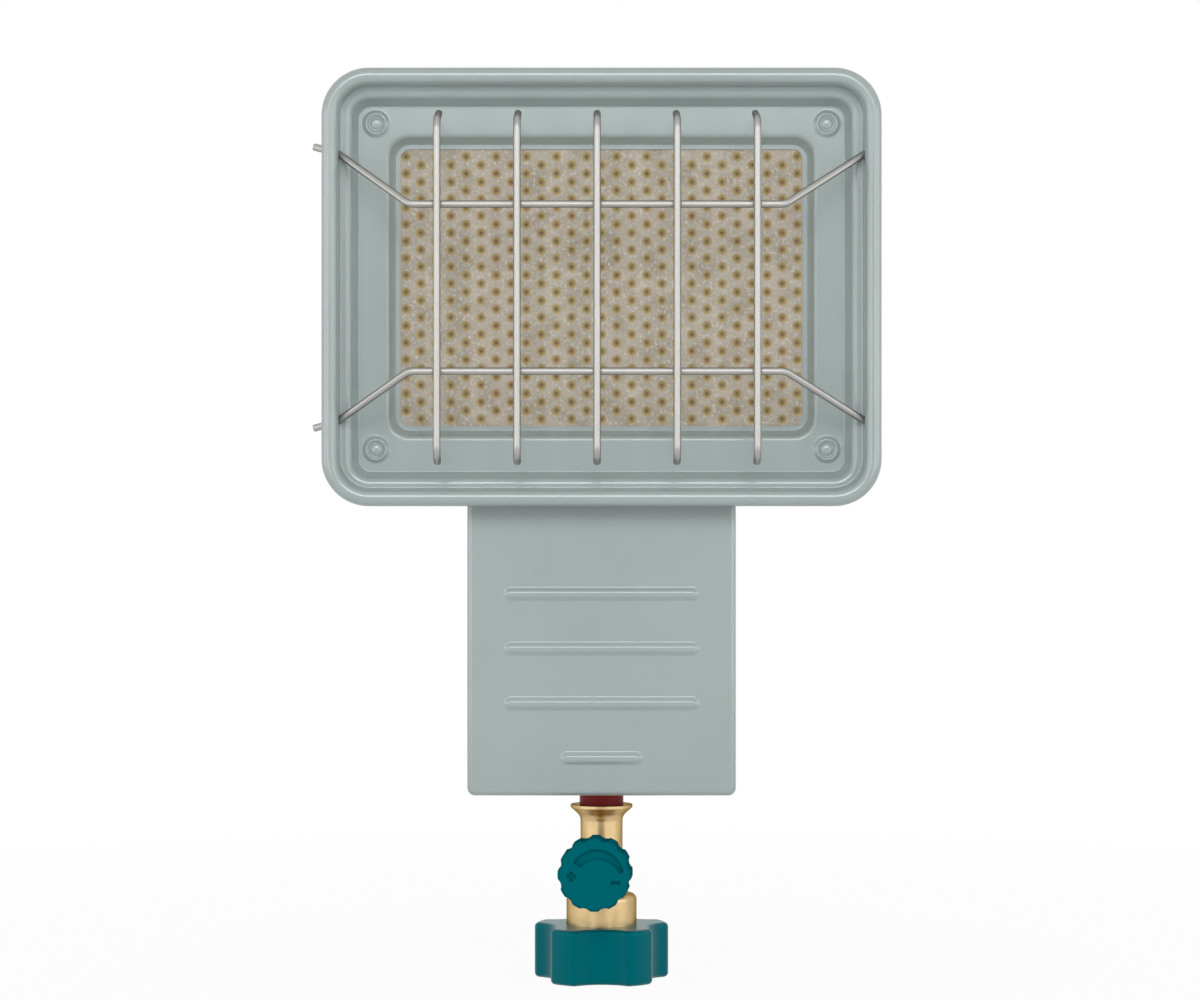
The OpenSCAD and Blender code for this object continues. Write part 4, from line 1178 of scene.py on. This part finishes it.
class HEATER_OT_knob(bpy.types.Operator):
    """Moulds the scalloped knob with its wedge groove and its marks"""

    bl_idname = "heater.knob"
    bl_label = "Knob"
    bl_options = {"REGISTER", "UNDO"}

    def execute(self, context):
        s = sizes("knob")
        front = s.back + s.height
        body = bent([(0, s.back), (s.radius, s.back), (s.radius, front), (0, front)], [0.7 * MM, s.edge])
        piece = lathe("knob_finished", body, steps=120)
        for i in range(s.lobes):
            spot = around(s.radius + s.hollow - s.hollow_depth, math.tau * (i + 0.5) / s.lobes)
            combine(piece, bar("hollow", s.hollow, s.back - MM, front + MM, spot, sides=40))
        inside = bar("inside", s.radius - s.wall - s.hollow_depth, s.back - MM, front - s.wall)
        combine(inside, bar("hub", s.hub, s.back - 2 * MM, front))
        combine(piece, inside)
        combine(piece, bar("hub", s.hub, s.back - 2.5 * MM, front - s.wall / 2), "UNION")
        combine(piece, bar("bore", s.bore, s.back - 4 * MM, front - s.cap))
        self.groove(piece, s, front)
        self.marks(piece, s, front)
        place(piece, (0, 0, sizes("valve").branch_height), spindle_way())
        dress(piece, "knob_set", "teal_plastic", "knob", look="teal_knob")
        return {"FINISHED"}

    def groove(self, piece, s, front):
        """Cuts the wedge-shaped groove that shows which way the flame grows."""
        floor_z, over = front - s.groove_depth, front + MM
        # The two circles' middles lie apart, so that the groove grows from one end to the other
        middle, core_middle = (0.9 * MM, -0.3 * MM, 0), (1.2 * MM, -2.6 * MM, 0)
        tool = bar("groove", s.groove, floor_z, over, middle, sides=96)
        combine(tool, bar("core", s.groove_core, floor_z - MM, over + MM, core_middle, sides=96))
        for angle in (s.groove_start, s.groove_end - math.pi):
            half = block("half", (2, 1, 1), (0, 0.5, 0))
            half.rotation_euler.z = angle
            combine(tool, half, "INTERSECT")
        combine(piece, tool)

    def marks(self, piece, s, front):
        """Cuts a plus at the wide end's side and a minus at the other."""
        flat, upright = (s.mark, s.mark_width, 2 * MM), (s.mark_width, s.mark, 2 * MM)
        for angle, strokes in ((s.plus_turn, (flat, upright)), (s.minus_turn, (flat,))):
            for stroke in strokes:
                combine(piece, block("mark", stroke, around(s.mark_at, angle) + front * UP))


class HEATER_OT_nuts(bpy.types.Operator):
    """Makes the brass nut with its thread and moulds the lobed hand nut over it"""

    bl_idname = "heater.nuts"
    bl_label = "Nuts"
    bl_options = {"REGISTER", "UNDO"}

    def execute(self, context):
        s = sizes("nuts")
        self.union_nut(s)
        self.hand_nut(s)
        return {"FINISHED"}

    def union_nut(self, s):
        """The brass nut: a hexagon with a round shoulder, and the thread inside."""
        top, root_z = s.shoulder_top, s.hexagon_top - 2 * MM
        piece = hexagon("union_nut_finished", s.flats, 0, s.hexagon_top)
        soften(piece, 0.4 * MM, 2, 50)
        rounded = bent([(s.shoulder, root_z), (s.shoulder, top), (0, top)], [1.9 * MM])
        combine(piece, lathe("shoulder", [(0, root_z), *rounded], steps=96), "UNION")
        pitch, root, crest = s.thread_pitch, s.thread_radius + 0.55 * MM, s.thread_radius - 0.5 * MM
        turns = int(s.thread_length / pitch)
        thread = [point for i in range(turns)
                  for point in ((root, (i + 0.45) * pitch), (crest, (i + 0.95) * pitch))]
        head_low = s.thread_length + 0.3 * MM
        stem = corners("connector_stem")[0].z + s.stem_head
        wide, narrow = s.thread_radius + 0.4 * MM, s.thread_radius - 0.6 * MM
        profile = [(0, -MM), (root + 0.3 * MM, -MM), (root + 0.3 * MM, 0), *thread,
                   (wide, head_low), (wide, head_low + 2 * MM), (narrow, head_low + 2 * MM),
                   (narrow, stem), (s.stem_hole, stem), (s.stem_hole, top + MM), (0, top + MM)]
        combine(piece, lathe("bore", profile))
        dress(piece, "bottle_nut", "brass", "union_nut")

    def hand_nut(self, s):
        """The teal nut: five lobes with hollows between, rounded at both rims."""
        piece = begin("hand_nut_finished")
        angles = [QUARTER * i / 5 for i in range(6)]
        rim = [(s.edge * (1 - math.sin(a)), s.edge * (1 - math.cos(a))) for a in angles]
        rim += [(inset, s.height - rise) for inset, rise in reversed(rim)]
        rings = [[point + height * UP for point in self.lobed_outline(s, inset)] for inset, height in rim]
        bpy.ops.mesh.primitive_circle_add(vertices=len(rings[0]), radius=s.radius, fill_type="NGON")
        mesh = bmesh.from_edit_mesh(piece.data)
        for vert, point in zip(mesh.verts, rings[0]):
            vert.co = point
        for before, ring in zip(rings, rings[1:]):
            bmesh.update_edit_mesh(piece.data)
            bpy.ops.mesh.extrude_region_move()
            mesh = bmesh.from_edit_mesh(piece.data)
            for vert in (v for v in mesh.verts if v.select):
                vert.co = min(zip(before, ring), key=lambda pair: (vert.co - pair[0]).length_squared)[1]
        outward()
        end()
        combine(piece, hexagon("socket", s.flats + 2 * PLAY, -MM, s.hexagon_top))
        combine(piece, bar("hole", s.shoulder + PLAY, 0, s.height + MM, sides=96))
        dress(piece, "bottle_nut", "teal_plastic", "hand_nut")

    def lobed_outline(self, s, inset):
        """The hand nut's outline, moved in a little: hollow, edge, crest and edge for each lobe."""
        half = math.pi / s.lobes
        reach = s.radius - s.lobe_edge
        lean = math.asin((s.lobe_width / 2 - s.lobe_edge) / reach)
        first, last = around(reach, half - lean), around(reach, half + lean)
        inward = first.x - s.waist
        hollow = (inward ** 2 + first.y ** 2 - s.lobe_edge ** 2) / (2 * (s.lobe_edge + inward))
        middle = Vector((s.waist + hollow, 0, 0))
        meet = math.atan2(first.y, middle.x - first.x)
        edge = s.lobe_edge - inset
        arcs = ((middle, hollow + inset, math.pi + meet, math.pi - meet, 14),
                (first, edge, -meet, half - lean, 6),
                (Vector(), s.radius - inset, half - lean, half + lean, 4),
                (last, edge, half + lean, 2 * half + meet, 6))
        once = [centre + around(radius, a + (b - a) * i / steps)
                for centre, radius, a, b, steps in arcs for i in range(steps)]
        return [Matrix.Rotation(math.tau * i / s.lobes - QUARTER, 3, "Z") @ point
                for i in range(s.lobes) for point in once]


# ---------- studio ----------


class HEATER_OT_studio(bpy.types.Operator):
    """Sets the floor, the lights, the white surroundings and the camera"""

    bl_idname = "heater.studio"
    bl_label = "Studio"
    bl_options = {"REGISTER", "UNDO"}

    def execute(self, context):
        s = sizes("studio")
        scene = context.scene
        scene.view_settings.view_transform = "Standard"
        self.floor()
        self.surroundings(scene, s)
        target = Vector((0, -0.02, 0.19))
        self.lamp("key", s.key, (0.8, 0.5), Vector((0, -1.4, 0.74)), target)
        for side in (-1, 1):
            self.lamp("strip", s.strip, (0.2, 0.6), Vector((side * 0.62, -1.15, 0.3)), target)
            self.lamp("side", s.side, (0.8, 0.7), Vector((side * 1.1, -0.5, 0.2)), target)
        bpy.ops.object.camera_add(location=(s.camera_across, -s.camera_ahead, s.camera_height),
                                  rotation=(QUARTER, 0, 0))
        camera = context.object
        camera.data.sensor_width = 36
        camera.data.lens = s.lens
        scene.camera = camera
        return {"FINISHED"}

    def lamp(self, name, power, size, spot, target):
        """A soft light of this width and height that looks at the heater."""
        bpy.ops.object.light_add(type="AREA", location=spot)
        light = bpy.context.object
        light.name = name
        light.data.energy = power
        light.data.shape = "RECTANGLE"
        light.data.size, light.data.size_y = size
        light.rotation_euler = (target - spot).to_track_quat("-Z", "Y").to_euler()

    def floor(self):
        """A pale floor that keeps the heater's shadow and runs out into the white backdrop."""
        bpy.ops.mesh.primitive_plane_add(size=30)
        plane = bpy.context.object
        plane.name = "floor"
        material = bpy.data.materials.new("studio_floor")
        material.use_nodes = True
        tree = material.node_tree
        tree.nodes.remove(tree.nodes["Principled BSDF"])
        matte = add(tree, "BsdfDiffuse", {"Color": (0.85, 0.85, 0.85, 1)})
        glow = add(tree, "Emission", {"Color": (1, 1, 1, 1), "Strength": 1})
        far = add(tree, "VectorMath", {0: add(tree, "TexCoord").outputs["Object"]}, operation="LENGTH")
        fade = add(tree, "MapRange", {"Value": far.outputs["Value"], "From Min": 0.05, "From Max": 0.6,
                                      "To Min": 0.95, "To Max": 1}, interpolation_type="SMOOTHSTEP")
        share = add(tree, "Math", {0: fade.outputs["Result"], 1: seen(tree)}, operation="MULTIPLY")
        mix = add(tree, "MixShader", {"Fac": share.outputs[0], 1: matte.outputs[0], 2: glow.outputs[0]})
        tree.links.new(mix.outputs[0], tree.nodes["Material Output"].inputs["Surface"])
        plane.data.materials.append(material)

    def surroundings(self, scene, s):
        """A soft world that the camera and reflections see as white."""
        world = bpy.data.worlds.new("studio")
        world.use_nodes = True
        tree = world.node_tree
        background = tree.nodes["Background"]
        background.inputs["Color"].default_value = (1, 1, 1, 1)
        # Reflections find a dimmer room where the front side looks
        way = add(tree, "SeparateXYZ", {0: add(tree, "TexCoord").outputs["Generated"]})
        room = add(tree, "MapRange", {"Value": way.outputs["Y"], "From Min": -0.97, "From Max": -0.7,
                                      "To Min": s.room, "To Max": 1}, interpolation_type="SMOOTHSTEP")
        direct = add(tree, "LightPath").outputs["Is Camera Ray"]
        bright = add(tree, "Math", {0: room.outputs["Result"], 1: direct}, operation="MAXIMUM").outputs[0]
        strength = add(tree, "MapRange", {"Value": seen(tree), "To Min": s.ambient, "To Max": bright})
        tree.links.new(strength.outputs["Result"], background.inputs["Strength"])
        scene.world = world


def seen(tree):
    """1 where the camera, a reflection or a view through glass looks, and 0 for other rays."""
    path = add(tree, "LightPath").outputs
    total = path["Is Camera Ray"]
    for kind in ("Is Glossy Ray", "Is Transmission Ray"):
        total = add(tree, "Math", {0: total, 1: path[kind]}, operation="MAXIMUM").outputs[0]
    return total


# ---------- add-on ----------


BUILDERS = (
    HEATER_OT_tray, HEATER_OT_rivets, HEATER_OT_plaque, HEATER_OT_guard, HEATER_OT_neck, HEATER_OT_box,
    HEATER_OT_gas_path, HEATER_OT_valve, HEATER_OT_knob, HEATER_OT_nuts, HEATER_OT_studio,
)


class HEATER_PT_sidebar(bpy.types.Panel):
    """The heater's builders and their sizes"""

    bl_idname = "HEATER_PT_sidebar"
    bl_label = "Radiant gas heater"
    bl_space_type = "VIEW_3D"
    bl_region_type = "UI"
    bl_category = "Heater"

    def draw(self, context):
        for builder in BUILDERS:
            self.layout.operator(builder.bl_idname)
        for group, kind in GROUPS.items():
            box = self.layout.box()
            box.label(text=kind.__name__)
            for name in kind.__annotations__:
                box.prop(getattr(context.scene, group), name)


def register():
    for kind in (*GROUPS.values(), *BUILDERS, HEATER_PT_sidebar):
        bpy.utils.register_class(kind)
    for group, kind in GROUPS.items():
        setattr(bpy.types.Scene, group, bpy.props.PointerProperty(type=kind))


def unregister():
    for group in GROUPS:
        delattr(bpy.types.Scene, group)
    for kind in reversed((*GROUPS.values(), *BUILDERS, HEATER_PT_sidebar)):
        bpy.utils.unregister_class(kind)


def main():
    register()
    for builder in BUILDERS:
        group, name = builder.bl_idname.split(".")
        getattr(getattr(bpy.ops, group), name)()


if __name__ == "__main__":
    main()
